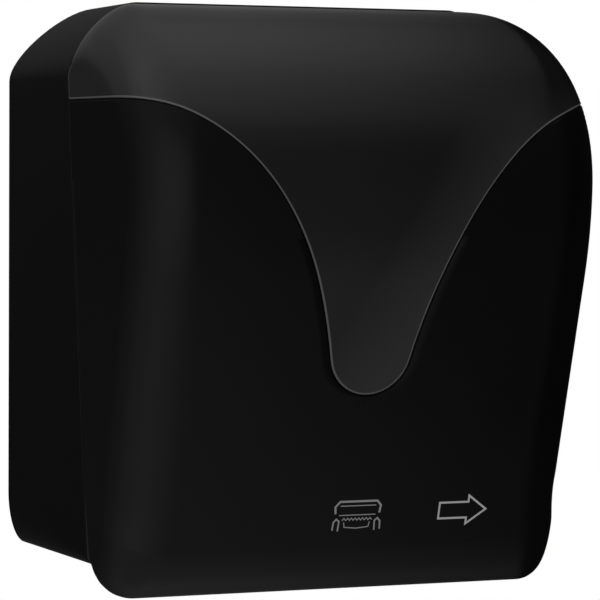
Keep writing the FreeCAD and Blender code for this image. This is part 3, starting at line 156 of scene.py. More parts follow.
# Step along rows and shares for the skin's normal, and lengths that count as none
NORMAL_STEP = 0.002
NO_NORMAL = 0.0001
LEAST_FLANK = 0.001

# Counts of steps along the rows, the shares and the outlines
NOSE_STEPS = (6, 38, 6)
BELOW_STEPS = 10
TONGUE_STEPS = 14
FRONT_STEPS = 26
CROWN_STEPS = 44
LAST_STEPS = 16
HALF_COLUMNS = 60
CUT_COLUMNS = 20
SEARCH_STEPS = 90
HALVINGS = 30
RIM_STEPS = 90
RIB_STEPS = 30
CUP_STEPS = 14
CORNER_STEPS = 18
LINE_STEPS = 20

# Printed marks: heights above the cover's foot, and widths of the strokes
MARK_LIFT = 0.12
MARK_ROOT = -0.1
BOLD = 1.3
FINE = 0.6
ARROW_STROKE = 1.25
FINGER_STROKE = 1.0
SHARPEST_TURN = 0.35
ARROW = ((61.5, 54.3), (82.0, 54.3), (82.0, 58.4), (95.0, 49.2), (81.6, 40.0), (81.6, 44.0), (61.5, 44.0))
LID = ((-11.6, 49.6), (-12.2, 54.0), (-9.2, 57.4), (16.8, 57.4), (19.6, 54.4), (19.0, 49.6))
LID_LINES = (((-8.6, 54.6), (16.2, 54.6)), ((-9.0, 48.6), (16.4, 48.6)))
SIGN_MIDDLE = 3.8
TEETH = 8
TOOTH_PITCH = 1.3
TOOTH_HEIGHTS = (45.2, 46.6)
TOWEL_EDGE = ((-5.2, 44.0), (-4.6, 40.8), (SIGN_MIDDLE, 40.0), (12.2, 40.8), (12.8, 44.0))
FINGER = ((16.6, 39.0), (16.2, 44.2), (14.4, 46.2), (12.4, 44.6), (12.8, 38.4))

# Meshes: distances in metres below which points merge, and angles in degrees above which an edge stays sharp
MERGE_DISTANCE = 0.00001
SHORTEST_EDGE = 0.000001
SMOOTH_ANGLE = 35
LEDGE_SMOOTH_ANGLE = 50
EDGE_ROUNDING = 0.0003
ROUNDED_ANGLE = 50

# Camera, in metres and degrees: 25 degrees to the left of the front and a little above
CAMERA_PLACE = (-0.95296, -2.17015, 0.06736)
CAMERA_TURN = 24.8415
CAMERA_PITCH = 2.1724
CAMERA_ROLL = 0.3037
CAMERA_LENS = 209.7
CAMERA_SENSOR = 36

# Studio as gloss shows it: brightness by the angle up from straight out of the wall, by the sideways part of
# the direction, and by the part of it that points to the soft box
ARC_LEVELS = ((-180, 0.05), (-120, 0.2), (-105, 0.4), (-92, 0.75), (-78, 0.52), (-55, 0.5), (-38, 0.4),
              (-28, 0.28), (-15, 0.18), (5, 0.15), (22, 0.16), (35, 0.24), (50, 0.42), (70, 0.52), (95, 0.58),
              (110, 0.48), (125, 0.33), (140, 0.18), (155, 0.13), (170, 0.15), (180, 0.05))
SIDE_LEVELS = ((-1.0, 1.0), (0.4, 1.0), (0.45, 0.6), (0.48, 0.15), (0.52, 0.03), (1.0, 0.025))
BOX_LEVELS = ((-1.0, 0.2), (-0.86, 0.1), (-0.68, 0.012), (-0.4, 0.012), (0.0, 0.1), (0.35, 0.15),
              (0.47, 0.4), (0.74, 0.5), (0.9, 0.9), (1.0, 1.0))
SOFT_BOX = (-0.6, -0.8)
# Where the overhead brightness takes over from the box: steep and rightward directions from a part of the
# direction on, and those over the back, each with how quickly it does
STEEP_FROM, STEEP_RATE = 0.32, 2.5
RIGHT_FROM, RIGHT_RATE = 0.1, 4.0
BACK_UP_RATE, BACK_RATE = 3.0, 4.0

ROOM_LEVEL = 0.8
FLOOR_HEIGHT = -1.1
FLOOR_HALF = 3


def place(x, depth, height):
    return Vector((x / 1000, -depth / 1000, (height - ORIGIN_HEIGHT) / 1000))


# Nodes of materials and of the world

# Places of the colour sockets of a Mix node: share, first and second colour, and result
MIX_INPUTS = (0, 6, 7)
MIX_RESULT = 2


def feed(tree, socket, value):
    """Link a socket to another node's output, or set its value."""
    if isinstance(value, bpy.types.NodeSocket):
        tree.links.new(value, socket)
    else:
        socket.default_value = value


def calculate(tree, operation, *values, clamp=False):
    made = tree.nodes.new("ShaderNodeMath")
    made.operation = operation
    made.use_clamp = clamp
    for socket, value in zip(made.inputs, values):
        feed(tree, socket, value)
    return made.outputs[0]


def mix_colours(tree, share, first, second, blend="MIX"):
    made = tree.nodes.new("ShaderNodeMix")
    made.data_type = "RGBA"
    made.blend_type = blend
    for index, value in zip(MIX_INPUTS, (share, first, second)):
        feed(tree, made.inputs[index], value)
    return made.outputs[MIX_RESULT]


# Materials

# Scales of fine grain, per metre
MOULDED_GRAIN = 1400
METAL_GRAIN = 500


def node(material, kind):
    return material.node_tree.nodes.new(kind)


def link(material, source, output, target, name):
    material.node_tree.links.new(source.outputs[output], target.inputs[name])


def shader_of(material):
    return material.node_tree.nodes["Principled BSDF"]


def new_material(name, colour, roughness, metallic=0.0, specular=0.5):
    material = bpy.data.materials.new(name)
    material.use_nodes = True
    shader = shader_of(material)
    shader.inputs["Base Color"].default_value = (*colour, 1)
    shader.inputs["Roughness"].default_value = roughness
    shader.inputs["Metallic"].default_value = metallic
    shader.inputs["Specular IOR Level"].default_value = specular
    return material


def add_noise(material, scale, detail, stretch):
    """Noise over the surface, in the object's own coordinates."""
    coordinates = node(material, "ShaderNodeTexCoord")
    mapping = node(material, "ShaderNodeMapping")
    mapping.inputs["Scale"].default_value = stretch
    noise = node(material, "ShaderNodeTexNoise")
    noise.inputs["Scale"].default_value = scale
    noise.inputs["Detail"].default_value = detail
    link(material, coordinates, "Object", mapping, "Vector")
    link(material, mapping, "Vector", noise, "Vector")
    return noise


def vary_roughness(material, low, high, scale, stretch=(1, 1, 1)):
    """Roughness that wanders between two values over patches of the surface."""
    noise = add_noise(material, scale, detail=4, stretch=stretch)
    remap = node(material, "ShaderNodeMapRange")
    remap.inputs["To Min"].default_value = low
    remap.inputs["To Max"].default_value = high
    link(material, noise, "Fac", remap, "Value")
    link(material, remap, "Result", shader_of(material), "Roughness")


def add_grain(material, scale, strength, distance=0.0002, stretch=(1, 1, 1)):
    """Fine bump, such as moulded texture or brushing."""
    noise = add_noise(material, scale, detail=3, stretch=stretch)
    bump = node(material, "ShaderNodeBump")
    bump.inputs["Strength"].default_value = strength
    bump.inputs["Distance"].default_value = distance
    link(material, noise, "Fac", bump, "Height")
    link(material, bump, "Normal", shader_of(material), "Normal")


def vary_colour(material, first, second, scale, stretch=(1, 1, 1)):
    """Base colour that wanders between two colours over patches of the surface."""
    noise = add_noise(material, scale, detail=5, stretch=stretch)
    ramp = node(material, "ShaderNodeValToRGB")
    for element, position, colour in zip(ramp.color_ramp.elements, (0.3, 0.7), (first, second)):
        element.position = position
        element.color = (*colour, 1)
    link(material, noise, "Fac", ramp, "Fac")
    link(material, ramp, "Color", shader_of(material), "Base Color")


def paint_light_by_place(material, colour, *slopes):
    """Painted light: colour added to the base colour by where a point lies, in place of reflected light.

    Each slope is (along X, along Z, offset) of a share between 0 and 1, and the shares are multiplied.
    """
    tree = material.node_tree
    coordinates = node(material, "ShaderNodeTexCoord")
    split = node(material, "ShaderNodeSeparateXYZ")
    link(material, coordinates, "Object", split, "Vector")
    share = 1.0
    for along_x, along_z, offset in slopes:
        across = calculate(tree, "MULTIPLY_ADD", split.outputs["X"], along_x, offset)
        both = calculate(tree, "MULTIPLY_ADD", split.outputs["Z"], along_z, across, clamp=True)
        share = calculate(tree, "MULTIPLY", share, both)
    base = shader_of(material).inputs["Base Color"]
    total = mix_colours(tree, share, base.links[0].from_socket, (*colour, 1), blend="ADD")
    tree.links.new(total, base)


def plastic(name, colour, roughness, specular=0.5, grain=0.0, spread_of_roughness=0.06):
    material = new_material(name, colour, roughness, specular=specular)
    half = spread_of_roughness / 2
    vary_roughness(material, roughness - half, roughness + half, scale=18)
    darker, lighter = ([part * change for part in colour] for change in (0.85, 1.15))
    vary_colour(material, darker, lighter, scale=9)
    if grain:
        add_grain(material, MOULDED_GRAIN, grain)
    return material


def metal(name, colour, roughness, brushed=(1, 1, 1), grain=0.15):
    material = new_material(name, colour, roughness, metallic=1.0)
    vary_roughness(material, roughness * 0.8, roughness * 1.25, scale=60, stretch=brushed)
    vary_colour(material, [part * 0.92 for part in colour], colour, scale=40, stretch=brushed)
    add_grain(material, METAL_GRAIN, grain, distance=0.0001, stretch=brushed)
    return material


BRUSHED_ALONG_X = (0.02, 1, 1)
TURNED_ABOUT_X = (1, 0.05, 0.05)

# Painted light: places where the cover and the window are painted a little lighter in place of reflected
# light, as slopes for the function above that adds it
PAINTED_LIGHT_LOWER_LEFT = (-3.5, -3.5, 0.1)
PAINTED_LIGHT_RIGHT_FLANK = (200, -2.6, -30.85)
PAINTED_LIGHT_TONGUE_RIGHT = (19.3, -11.1, 0.11)
PAINTED_LIGHT_BELOW_CROWN = (0, -25, 3)
PAINTED_LIGHT_LEFT_END = (-40, 0, -5)

cover_black = plastic("cover_black", (0.0012, 0.0012, 0.0013), 0.32, specular=0.14)
# The cover is painted lighter at its lower left and on its right flank: painted light in place of
# reflections.
for painted_light_place in (PAINTED_LIGHT_LOWER_LEFT, PAINTED_LIGHT_RIGHT_FLANK):
    paint_light_by_place(cover_black, (0.0036, 0.0036, 0.0037), painted_light_place)
housing_black = plastic("housing_black", (0.0024, 0.0024, 0.0025), 0.42, specular=0.16)
window_grey = plastic("window_grey", (0.0035, 0.0035, 0.0037), 0.12, spread_of_roughness=0.03)
# The window is painted lighter at the tongue's right below the crown, and at its left end: painted light in
# place of reflections.
paint_light_by_place(window_grey, (0.01, 0.01, 0.01), PAINTED_LIGHT_TONGUE_RIGHT, PAINTED_LIGHT_BELOW_CROWN)
paint_light_by_place(window_grey, (0.01, 0.01, 0.01), PAINTED_LIGHT_LEFT_END)
# The pane's edge band and bevel are coloured lighter grey than the pane: a painted highlight of the light
# line along its edge.
rim_painted_highlight = plastic("rim_painted_highlight", (0.065, 0.065, 0.067), 0.3)
# The cover's sunk band by the window is near black and barely glossy: painted shade of the gap.
groove_painted_shade = plastic("groove_painted_shade", (0.001, 0.001, 0.001), 0.6, specular=0.05)
print_grey = plastic("print_grey", (0.3, 0.3, 0.3), 0.5, specular=0.3)
print_faint = plastic("print_faint", (0.17, 0.17, 0.17), 0.5, specular=0.3)
chassis_grey = plastic("chassis_grey", (0.2, 0.205, 0.21), 0.5, grain=0.2)
drum_grey = plastic("drum_grey", (0.045, 0.047, 0.05), 0.45, grain=0.2)
bush_white = plastic("bush_white", (0.6, 0.6, 0.56), 0.4)
knob_black = plastic("knob_black", (0.008, 0.008, 0.009), 0.45, specular=0.3, grain=0.2)
arm_black = plastic("arm_black", (0.02, 0.02, 0.021), 0.45, grain=0.2)
hub_blue = plastic("hub_blue", (0.03, 0.1, 0.24), 0.4)
band_rubber = plastic("band_rubber", (0.012, 0.012, 0.012), 0.8, specular=0.25, grain=0.5)
turned_steel = metal("turned_steel", (0.5, 0.5, 0.51), 0.28, brushed=TURNED_ABOUT_X)
ground_steel = metal("ground_steel", (0.56, 0.56, 0.57), 0.22, brushed=BRUSHED_ALONG_X)
spring_wire = metal("spring_wire", (0.36, 0.36, 0.37), 0.3)
zinc_plate = metal("zinc_plate", (0.46, 0.47, 0.48), 0.35)
lock_chrome = metal("lock_chrome", (0.62, 0.62, 0.63), 0.12, grain=0.05)
floor_pale = new_material("floor_pale", (0.8, 0.8, 0.8), 0.6, specular=0.1)

NODE_MATERIALS = {
    "rear_housing": housing_black, "front_cover": cover_black, "smoke_window": window_grey,
    "hinge_pins": turned_steel, "lock_barrel": lock_chrome, "lock_nut": zinc_plate, "lock_plug": turned_steel,
    "lock_cam": zinc_plate, "lock_catch": housing_black, "chassis_left": chassis_grey,
    "chassis_right": chassis_grey, "tie_rods": turned_steel, "tie_rod_nuts": zinc_plate,
    "chute_rear_guide": chassis_grey, "chute_front_guide": chassis_grey, "chassis_screws": zinc_plate,
    "bracket_screws": zinc_plate, "drum_upper_half": drum_grey, "drum_lower_half": drum_grey,
    "drum_shaft": turned_steel, "friction_bands": band_rubber, "drum_bush_left": bush_white,
    "drum_bush_right": bush_white, "crank_disc": drum_grey, "crank_pin": turned_steel,
    "return_spring": spring_wire, "spring_post": turned_steel, "feed_knob": knob_black,
    "knife_carrier": drum_grey, "knife_blade": ground_steel, "blade_rivets": turned_steel,
    "knife_pivot_rod": turned_steel, "follower_arm": zinc_plate, "follower_roller": bush_white,
    "follower_pin": turned_steel, "knife_cam": bush_white, "pinch_roller_sleeve": band_rubber,
    "pinch_shaft": turned_steel, "pinch_block_left": bush_white, "pinch_block_right": bush_white,
    "pinch_springs": spring_wire, "roll_arm_left": arm_black, "roll_arm_right": arm_black,
    "roll_hub_left": hub_blue, "roll_hub_right": hub_blue, "arm_bracket_left": chassis_grey,
    "arm_bracket_right": chassis_grey, "arm_pins": turned_steel, "arm_springs": spring_wire,
}


def finish_cad_nodes():
    """Each CAD node gets its material, and the moulded and cut ones get small rounded edges."""
    for name, obj in nodes.items():
        obj.data.materials.clear()
        obj.data.materials.append(NODE_MATERIALS[name])
        if NODE_MATERIALS[name] is not spring_wire:
            edges = obj.modifiers.new("rounded_edges", "BEVEL")
            edges.width = EDGE_ROUNDING
            edges.segments = 2
            edges.limit_method = "ANGLE"
            edges.angle_limit = math.radians(ROUNDED_ANGLE)
            edges.use_clamp_overlap = True
            edges.harden_normals = True


# Side profile of the cover and its sections

def find(low, high, is_below):
    """The value between low and high at which is_below stops being true."""
    for _ in range(HALVINGS):
        middle = (low + high) / 2
        if is_below(middle):
            low = middle
        else:
            high = middle
    return low


def spread(start, end, count):
    return [start + (end - start) * index / count for index in range(count + 1)]


def angle_of(vector):
    return math.atan2(vector[1], vector[0])


def cubic(poles, share):
    """Point on a cubic curve."""
    rest = 1 - share
    first, second, third, last = (Vector(pole) for pole in poles)
    return (rest ** 3 * first + 3 * rest ** 2 * share * second
            + 3 * rest * share ** 2 * third + share ** 3 * last)


def seam_depth(height):
    return SEAM_FOOT_DEPTH - SEAM_TILT * (height - HOUSING_FOOT)


def front_depth(height):
    below = CROWN_HEIGHT - height
    drop = below * below / (2 * LEAN_BLEND) if below < LEAN_BLEND else below - LEAN_BLEND / 2
    return DEPTH - FRONT_LEAN * drop


def crown_poles():
    top = HEIGHT - HOUSING_STEP
    slope = math.atan(CROWN_SLOPE)
    start = (seam_depth(top), top)
    return (start,
            (start[0] + CROWN_FORWARD * math.cos(slope), start[1] - CROWN_FORWARD * math.sin(slope)),
            (DEPTH, CROWN_HEIGHT + CROWN_RISE),
            (DEPTH, CROWN_HEIGHT))


def nose_poles():
    lean = math.atan(FRONT_LEAN)
    angle = math.radians(NOSE_ANGLE)
    start = (front_depth(NOSE_START), NOSE_START)
    end = (seam_depth(HOUSING_FOOT), HOUSING_FOOT)
    return (start,
            (start[0] - NOSE_FRONT_REACH * math.sin(lean), start[1] - NOSE_FRONT_REACH * math.cos(lean)),
            (end[0] + NOSE_BACK_REACH * math.cos(angle), end[1] - NOSE_BACK_REACH * math.sin(angle)),
            end)


class Section:
    """A flat U through the cover: out along the left flank, across the front and back on the right."""

    def __init__(self, tip, root, half, corner, pull=ROUND):
        self.pull = pull
        self.root = Vector(root)
        self.forward = Vector(tip) - self.root
        self.reach = self.forward.length
        self.forward.normalize()
        self.half = half
        self.corner = corner

    def at(self, share):
        """Point at a share of the way from the middle of the front (0) to the seam (3), on the right side.

        0 to 1 is the front, 1 to 2 the corner and 2 to 3 the flank.
        """
        if share < 1:
            x, distance = share * (self.half - self.corner), self.reach
        elif share < 2:
            corner = [(self.half - self.corner, self.reach),
                      (self.half - self.corner * (1 - self.pull), self.reach),
                      (self.half, self.reach - self.corner * (1 - self.pull)),
                      (self.half, self.reach - self.corner)]
            x, distance = cubic(corner, share - 1)
        else:
            x, distance = self.half, (self.reach - self.corner) * (3 - share)
        flank = max(1 - distance / max(self.reach - self.corner, LEAST_FLANK), 0)
        x += flank * (WIDTH / 2 - self.half)
        spot = self.root + self.forward * distance
        return (x, spot[0], spot[1])


def crown_section(share):
    """Section of the crown: share 0 is the front's top, 1 the seam's top."""
    tip = cubic(crown_poles(), 1 - share)
    root = Vector((seam_depth(CROWN_HEIGHT), CROWN_HEIGHT))
    seam_tip = Vector(crown_poles()[0])
    turn = max(angle_of(tip - root) / angle_of(seam_tip - root), 0)
    corner = EDGE_RADIUS + (SEAM_CORNER - EDGE_RADIUS) * turn ** CORNER_POWER
    pull = ROUND + (SOFT - ROUND) * turn ** SOFTNESS_POWER
    return Section(tip, root, WIDTH / 2, corner, pull)


def front_section(height):
    half = WIDTH / 2 - SIDE_TAPER * (CROWN_HEIGHT - height)
    return Section((front_depth(height), height), (seam_depth(height), height), half, EDGE_RADIUS)


def nose_section(share):
    """Section of the nose: share -1 is level with the fan's centre, 0 the nose's start, 1 the seam's foot."""
    if share < 0:
        height = NOSE_START - share * (NOSE_CENTRE - NOSE_START)
        tip = Vector((front_depth(height), height))
    else:
        tip = cubic(nose_poles(), share)
    root = Vector((seam_depth(NOSE_CENTRE), NOSE_CENTRE))
    seam_tip = Vector(nose_poles()[-1])
    first = angle_of(Vector((front_depth(NOSE_CENTRE), NOSE_CENTRE)) - root)
    turn = (angle_of(tip - root) - first) / (angle_of(seam_tip - root) - first)
    fade = max(math.cos(turn * math.pi / 2), 0) ** FOOT_FADE
    half = WIDTH / 2 - SIDE_TAPER * (CROWN_HEIGHT - tip[1]) * fade
    return Section(tip, root, half, FOOT_CORNER + (EDGE_RADIUS - FOOT_CORNER) * fade)


def section_at(row):
    """Section of the cover at a row of its skin."""
    if row < NOSE_END:
        return nose_section(1 - 2 * row)
    if row < FRONT_END:
        return front_section(NOSE_CENTRE + (CROWN_HEIGHT - NOSE_CENTRE) * (row - NOSE_END))
    return crown_section(row - FRONT_END)


def row_of_height(height):
    return NOSE_END + (height - NOSE_CENTRE) / (CROWN_HEIGHT - NOSE_CENTRE)


# Window outline, seen from the front

def window_half_width(height, grow):
    """Half width of the window at a height; grow moves the outline outwards."""
    radius = TONGUE_RADIUS + grow
    flare = math.radians(TONGUE_FLARE)
    start = (radius * math.cos(flare), TONGUE_HEIGHT - radius * math.sin(flare))
    wing = WING_HEIGHT - grow
    if height < TONGUE_HEIGHT - radius:
        return NO_WINDOW
    if height < start[1]:
        return math.sqrt(radius ** 2 - (TONGUE_HEIGHT - height) ** 2)
    if height >= wing:
        return ALL_WINDOW
    side = WIDTH / 2 + WING_OVERRUN
    poles = (start,
             (start[0] + TONGUE_REACH * math.sin(flare), start[1] + TONGUE_REACH * math.cos(flare)),
             (side - WING_REACH, wing),
             (side, wing))
    share = find(0.0, 1.0, lambda along: cubic(poles, along)[1] < height)
    return cubic(poles, share)[0]


def window_edge(section, grow):
    """Share of the section at which the window's outline crosses it; 0 where there is no window."""
    def inside_window(share):
        x, _, height = section.at(share)
        return x <= window_half_width(height, grow)

    if window_half_width(section.at(0)[2], grow) <= 0:
        return 0.0
    last = 0.0
    for share in spread(0.0, AT_SEAM, SEARCH_STEPS)[1:]:
        if not inside_window(share):
            return find(last, share, inside_window)
        last = share
    return AT_SEAM


# The cover's skin and its grids

def on_skin(row, share, side):
    x, depth, height = section_at(row).at(share)
    return Vector((side * x, depth, height))


def skin_normal(row, share, side):
    """Outward direction of the cover's skin."""
    step = NORMAL_STEP
    row = min(max(row, step), CROWN_END - step)
    share = min(max(share, step), AT_SEAM - step)
    along_row = on_skin(row + step, share, side) - on_skin(row - step, share, side)
    along_share = on_skin(row, share + step, side) - on_skin(row, share - step, side)
    normal = along_row.cross(along_share) * side
    if normal.length < NO_NORMAL:
        return Vector((side, 0, 0))
    return normal.normalized()


def skin_point(row, share, side, inset, seam_inset):
    """Point on the skin, moved into the cover by inset and kept in front of the seam by seam_inset."""
    spot = on_skin(row, share, side) - skin_normal(row, share, side) * inset
    ahead = spot[1] - seam_depth(spot[2])
    spot[1] += seam_inset * max(1 - ahead / SEAM_BLEND, 0)
    return place(*spot)


def tongue_rows(grow):
    """Rows from the tongue's lowest point up to the seam, close together where the outline turns."""
    radius = TONGUE_RADIUS + grow
    turns = [math.pi / 2 * step / TONGUE_STEPS for step in range(TONGUE_STEPS)]
    rows = [row_of_height(TONGUE_HEIGHT - radius * math.cos(turn)) for turn in turns]
    rows += spread(row_of_height(TONGUE_HEIGHT), FRONT_END, FRONT_STEPS)
    rows += spread(FRONT_END, CROWN_LAST, CROWN_STEPS)[1:]
    rows += spread(CROWN_LAST, CROWN_END, LAST_STEPS)[1:]
    return rows


CUT_ROW = find(0.0, NOSE_MIDDLE, lambda row: section_at(row).at(0)[1] < CUT_DEPTH)
LOW_ROWS = (spread(0.0, CUT_ROW, NOSE_STEPS[0])
            + spread(CUT_ROW, NOSE_MIDDLE, NOSE_STEPS[1])[1:]
            + spread(NOSE_MIDDLE, NOSE_END, NOSE_STEPS[2])[1:])


def below_tongue_rows(grow):
    return LOW_ROWS + spread(NOSE_END, row_of_height(TONGUE_HEIGHT - TONGUE_RADIUS - grow), BELOW_STEPS)[1:-1]


def low_shares(row):
    """Columns below the window: the first CUT_COLUMNS reach the side of the opening for the paper."""
    section = section_at(row)
    cut = min(CUT_HALF / (section.half - section.corner), MOST_CUT)
    return spread(0.0, cut, CUT_COLUMNS) + spread(cut, AT_SEAM, HALF_COLUMNS - CUT_COLUMNS)[1:]


def half_cover_grid(side, grow, inset, seam_inset):
    grid = []
    low_rows = below_tongue_rows(grow)
    for row in low_rows:
        grid.append([skin_point(row, share, side, inset, seam_inset) for share in low_shares(row)])
    for row in tongue_rows(grow):
        shares = spread(window_edge(section_at(row), grow), AT_SEAM, HALF_COLUMNS)
        grid.append([skin_point(row, share, side, inset, seam_inset) for share in shares])
    return grid, len(low_rows)


def window_grid(grow, inset, seam_inset):
    grid = []
    for row in tongue_rows(grow):
        edge = window_edge(section_at(row), grow)
        shares = spread(-edge, edge, 2 * HALF_COLUMNS)
        grid.append([skin_point(row, abs(share), 1 if share > 0 else -1, inset, seam_inset)
                     for share in shares])
    return grid


# Building blocks of meshes

def shade_smooth(data, angle):
    for polygon in data.polygons:
        polygon.use_smooth = True
    data.set_sharp_from_angle(angle=math.radians(angle))


def add_object(name, data):
    obj = bpy.data.objects.new(name, data)
    bpy.context.scene.collection.objects.link(obj)
    return obj


def mesh_object(name, mesh, *materials, smooth_angle=SMOOTH_ANGLE):
    bmesh.ops.remove_doubles(mesh, verts=mesh.verts, dist=MERGE_DISTANCE)
    bmesh.ops.dissolve_degenerate(mesh, edges=mesh.edges, dist=SHORTEST_EDGE)
    loose = [vertex for vertex in mesh.verts if not vertex.link_faces]
    bmesh.ops.delete(mesh, geom=loose, context="VERTS")
    bmesh.ops.recalc_face_normals(mesh, faces=mesh.faces)
    data = bpy.data.meshes.new(name)
    mesh.to_mesh(data)
    mesh.free()
    for material in materials:
        data.materials.append(material)
    shade_smooth(data, smooth_angle)
    return add_object(name, data)


def add_shell(mesh, layers, keep, open_edge, flip):
    """Faces for a skin, the lines that its edge steps through and an inner side.

    The layers are grids of the same size: the skin drawn back from its edges, the steps of the edge, and the
    inner side. keep says which cells stay and open_edge which edges of the kept cells have no wall. The
    steps have the second material.
    """
    rows, columns = len(layers[0]), len(layers[0][0])
    corners = [[[mesh.verts.new(spot) for spot in line] for line in layer] for layer in layers]

    def face(*spots):
        unique = list(dict.fromkeys(spots))
        if len(unique) > 2:
            return mesh.faces.new(unique[::-1] if flip else unique)
        return None

    uses = {}
    for row in range(rows - 1):
        for column in range(columns - 1):
            if not keep(row, column):
                continue
            ring = [(row, column), (row, column + 1), (row + 1, column + 1), (row + 1, column)]
            face(*(corners[0][r][c] for r, c in ring))
            face(*(corners[-1][r][c] for r, c in ring[::-1]))
            for start, end in zip(ring, ring[1:] + ring[:1]):
                uses.setdefault(frozenset((start, end)), []).append((start, end))
    for pairs in uses.values():
        if len(pairs) > 1 or open_edge(*pairs[0]):
            continue
        (r, c), (p, q) = pairs[0]
        for upper, lower in zip(corners, corners[1:]):
            made = face(upper[p][q], upper[r][c], lower[r][c], lower[p][q])
            if made and lower is not corners[-1]:
                made.material_index = 1


def add_tube(mesh, rings):
    """Closed form through rings of points, each with as many points as the others."""
    loops = [[mesh.verts.new(spot) for spot in ring] for ring in rings]
    for first, second in zip(loops, loops[1:]):
        for index in range(len(first)):
            after = (index + 1) % len(first)
            mesh.faces.new((first[index], first[after], second[after], second[index]))
    mesh.faces.new(loops[0][::-1])
    mesh.faces.new(loops[-1])


def add_prism(mesh, outline, x_low, x_high):
    """Side-view outline in depth and height, pushed along X."""
    add_tube(mesh, [[place(x, depth, height) for depth, height in outline] for x in (x_low, x_high)])


def add_cylinder(mesh, radius, start, end, segments=64):
    axis = end - start
    turn = Vector((0, 0, 1)).rotation_difference(axis).to_matrix().to_4x4()
    bmesh.ops.create_cone(mesh, cap_ends=True, segments=segments,
                          radius1=radius / 1000, radius2=radius / 1000,
                          depth=axis.length, matrix=Matrix.Translation((start + end) / 2) @ turn)


def add_box(mesh, low, high):
    scale = Matrix.Diagonal((*(abs(value) for value in high - low), 1))
    bmesh.ops.create_cube(mesh, size=1, matrix=Matrix.Translation((low + high) / 2) @ scale)


def cut_away(obj, cutters):
    """Subtract a mesh of closed pieces from an object and keep the result as its mesh."""
    bmesh.ops.recalc_face_normals(cutters, faces=cutters.faces)
    data = bpy.data.meshes.new("cutters")
    cutters.to_mesh(data)
    cutters.free()
    tool = add_object("cutters", data)
    modifier = obj.modifiers.new("openings", "BOOLEAN")
    modifier.operation = "DIFFERENCE"
    modifier.solver = "EXACT"
    modifier.object = tool
    bpy.context.view_layer.update()
    evaluated = obj.evaluated_get(bpy.context.evaluated_depsgraph_get())
    result = bpy.data.meshes.new_from_object(evaluated)
    obj.modifiers.clear()
    obj.data = result
    bpy.data.objects.remove(tool)
    shade_smooth(result, SMOOTH_ANGLE)


# Cover and window

def make_cover():
    mesh = bmesh.new()
    cut_row = LOW_ROWS.index(CUT_ROW)
    for side in (-1, 1):
        layers = []
        for back, inset in (*COVER_STEPS, (0.0, WALL)):
            grid, tongue_row = half_cover_grid(side, WINDOW_GAP + back, inset, SEAM_GAP / 2 + back)
            layers.append(grid)

        def keep(row, column):
            return row >= cut_row or column >= CUT_COLUMNS

        def open_edge(start, end):
            return start[1] == 0 and end[1] == 0 and max(start[0], end[0]) <= tongue_row

        add_shell(mesh, layers, keep, open_edge, flip=side < 0)
    cover = mesh_object("cover_shell", mesh, cover_black, groove_painted_shade)
    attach(cover, "cover")
    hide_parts("front_cover")


def strip_ring(first, second, side, insets):
    """Ring of a strip under the skin, from two (row, share, seam inset) places at a near and a far inset."""
    near, far = insets
    ring = ((first, near), (second, near), (second, far), (first, far))
    return [skin_point(row, share, side, inset, seam_inset) for (row, share, seam_inset), inset in ring]


def ledge_and_rim():
    """The ledge that the window lies on, and the rim behind the seam's edge."""
    mesh = bmesh.new()
    insets = (WALL + INSIDE_GAP, WALL + LEDGE_THICKNESS)
    setback = SEAM_GAP / 2 + LEDGE_SETBACK
    for side in (-1, 1):
        ledge = []
        for outer, inner in zip(tongue_rows(LEDGE_WIDTH), tongue_rows(-LEDGE_WIDTH)):
            outer_share = window_edge(section_at(outer), LEDGE_WIDTH)
            inner_share = window_edge(section_at(inner), -LEDGE_WIDTH)
            ring = strip_ring((outer, outer_share, setback), (inner, inner_share, setback), side, insets)
            if ring[0] != ring[1]:
                ledge.append(ring)
        add_tube(mesh, ledge)
        rim = []
        for row in spread(NOSE_END, RIM_END, RIM_STEPS):
            section = section_at(row)
            back = AT_SEAM - RIM_WIDTH / (section.reach - section.corner)
            rim.append(strip_ring((row, AT_SEAM, SEAM_GAP / 2), (row, back, 0), side, insets))
        add_tube(mesh, rim)
    return mesh


def rib_outline():
    """Side view of a rib: out from the hinge eye, and back along the inner side of the cover's foot."""
    sole = []
    for row in spread(CUT_ROW, RIB_END, RIB_STEPS):
        section = section_at(row)
        share = find(0.0, AT_SEAM, lambda along: section.at(along)[0] < RIB_X[1])
        _, depth, height = on_skin(row, share, 1) - skin_normal(row, share, 1) * WALL / 2
        if height < RIB_TOP:
            sole.append((depth, height))
    depth, height = HINGE
    return [(depth, height + EYE_RADIUS), (sole[-1][0], RIB_TOP), *sole[::-1], (depth, height - EYE_RADIUS)]


def make_cover_inside():
    inside = mesh_object("cover_ledge", ledge_and_rim(), cover_black, smooth_angle=LEDGE_SMOOTH_ANGLE)
    ribs = bmesh.new()
    for side in (-1, 1):
        ends = sorted((side * RIB_X[0], side * RIB_X[1]))
        add_prism(ribs, rib_outline(), *ends)
        add_cylinder(ribs, EYE_RADIUS, place(ends[0], *HINGE), place(ends[1], *HINGE))
    rib_piece = mesh_object("cover_ribs", ribs, cover_black)
    for piece in (inside, rib_piece):
        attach(piece, "cover")
        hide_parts("front_cover")


def make_window():
    mesh = bmesh.new()
    layers = []
    for back, inset in (*PANE_STEPS, (0.0, WALL)):
        layers.append(window_grid(-WINDOW_GAP - back, inset, SEAM_GAP / 2 + back))
    add_shell(mesh, layers, lambda row, column: True, lambda start, end: False, flip=False)
    window = mesh_object("window_pane", mesh, window_grey, rim_painted_highlight)
    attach(window, "cover")
    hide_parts("smoke_window")


# Housing: a cup whose outline changes from the wall to the seam

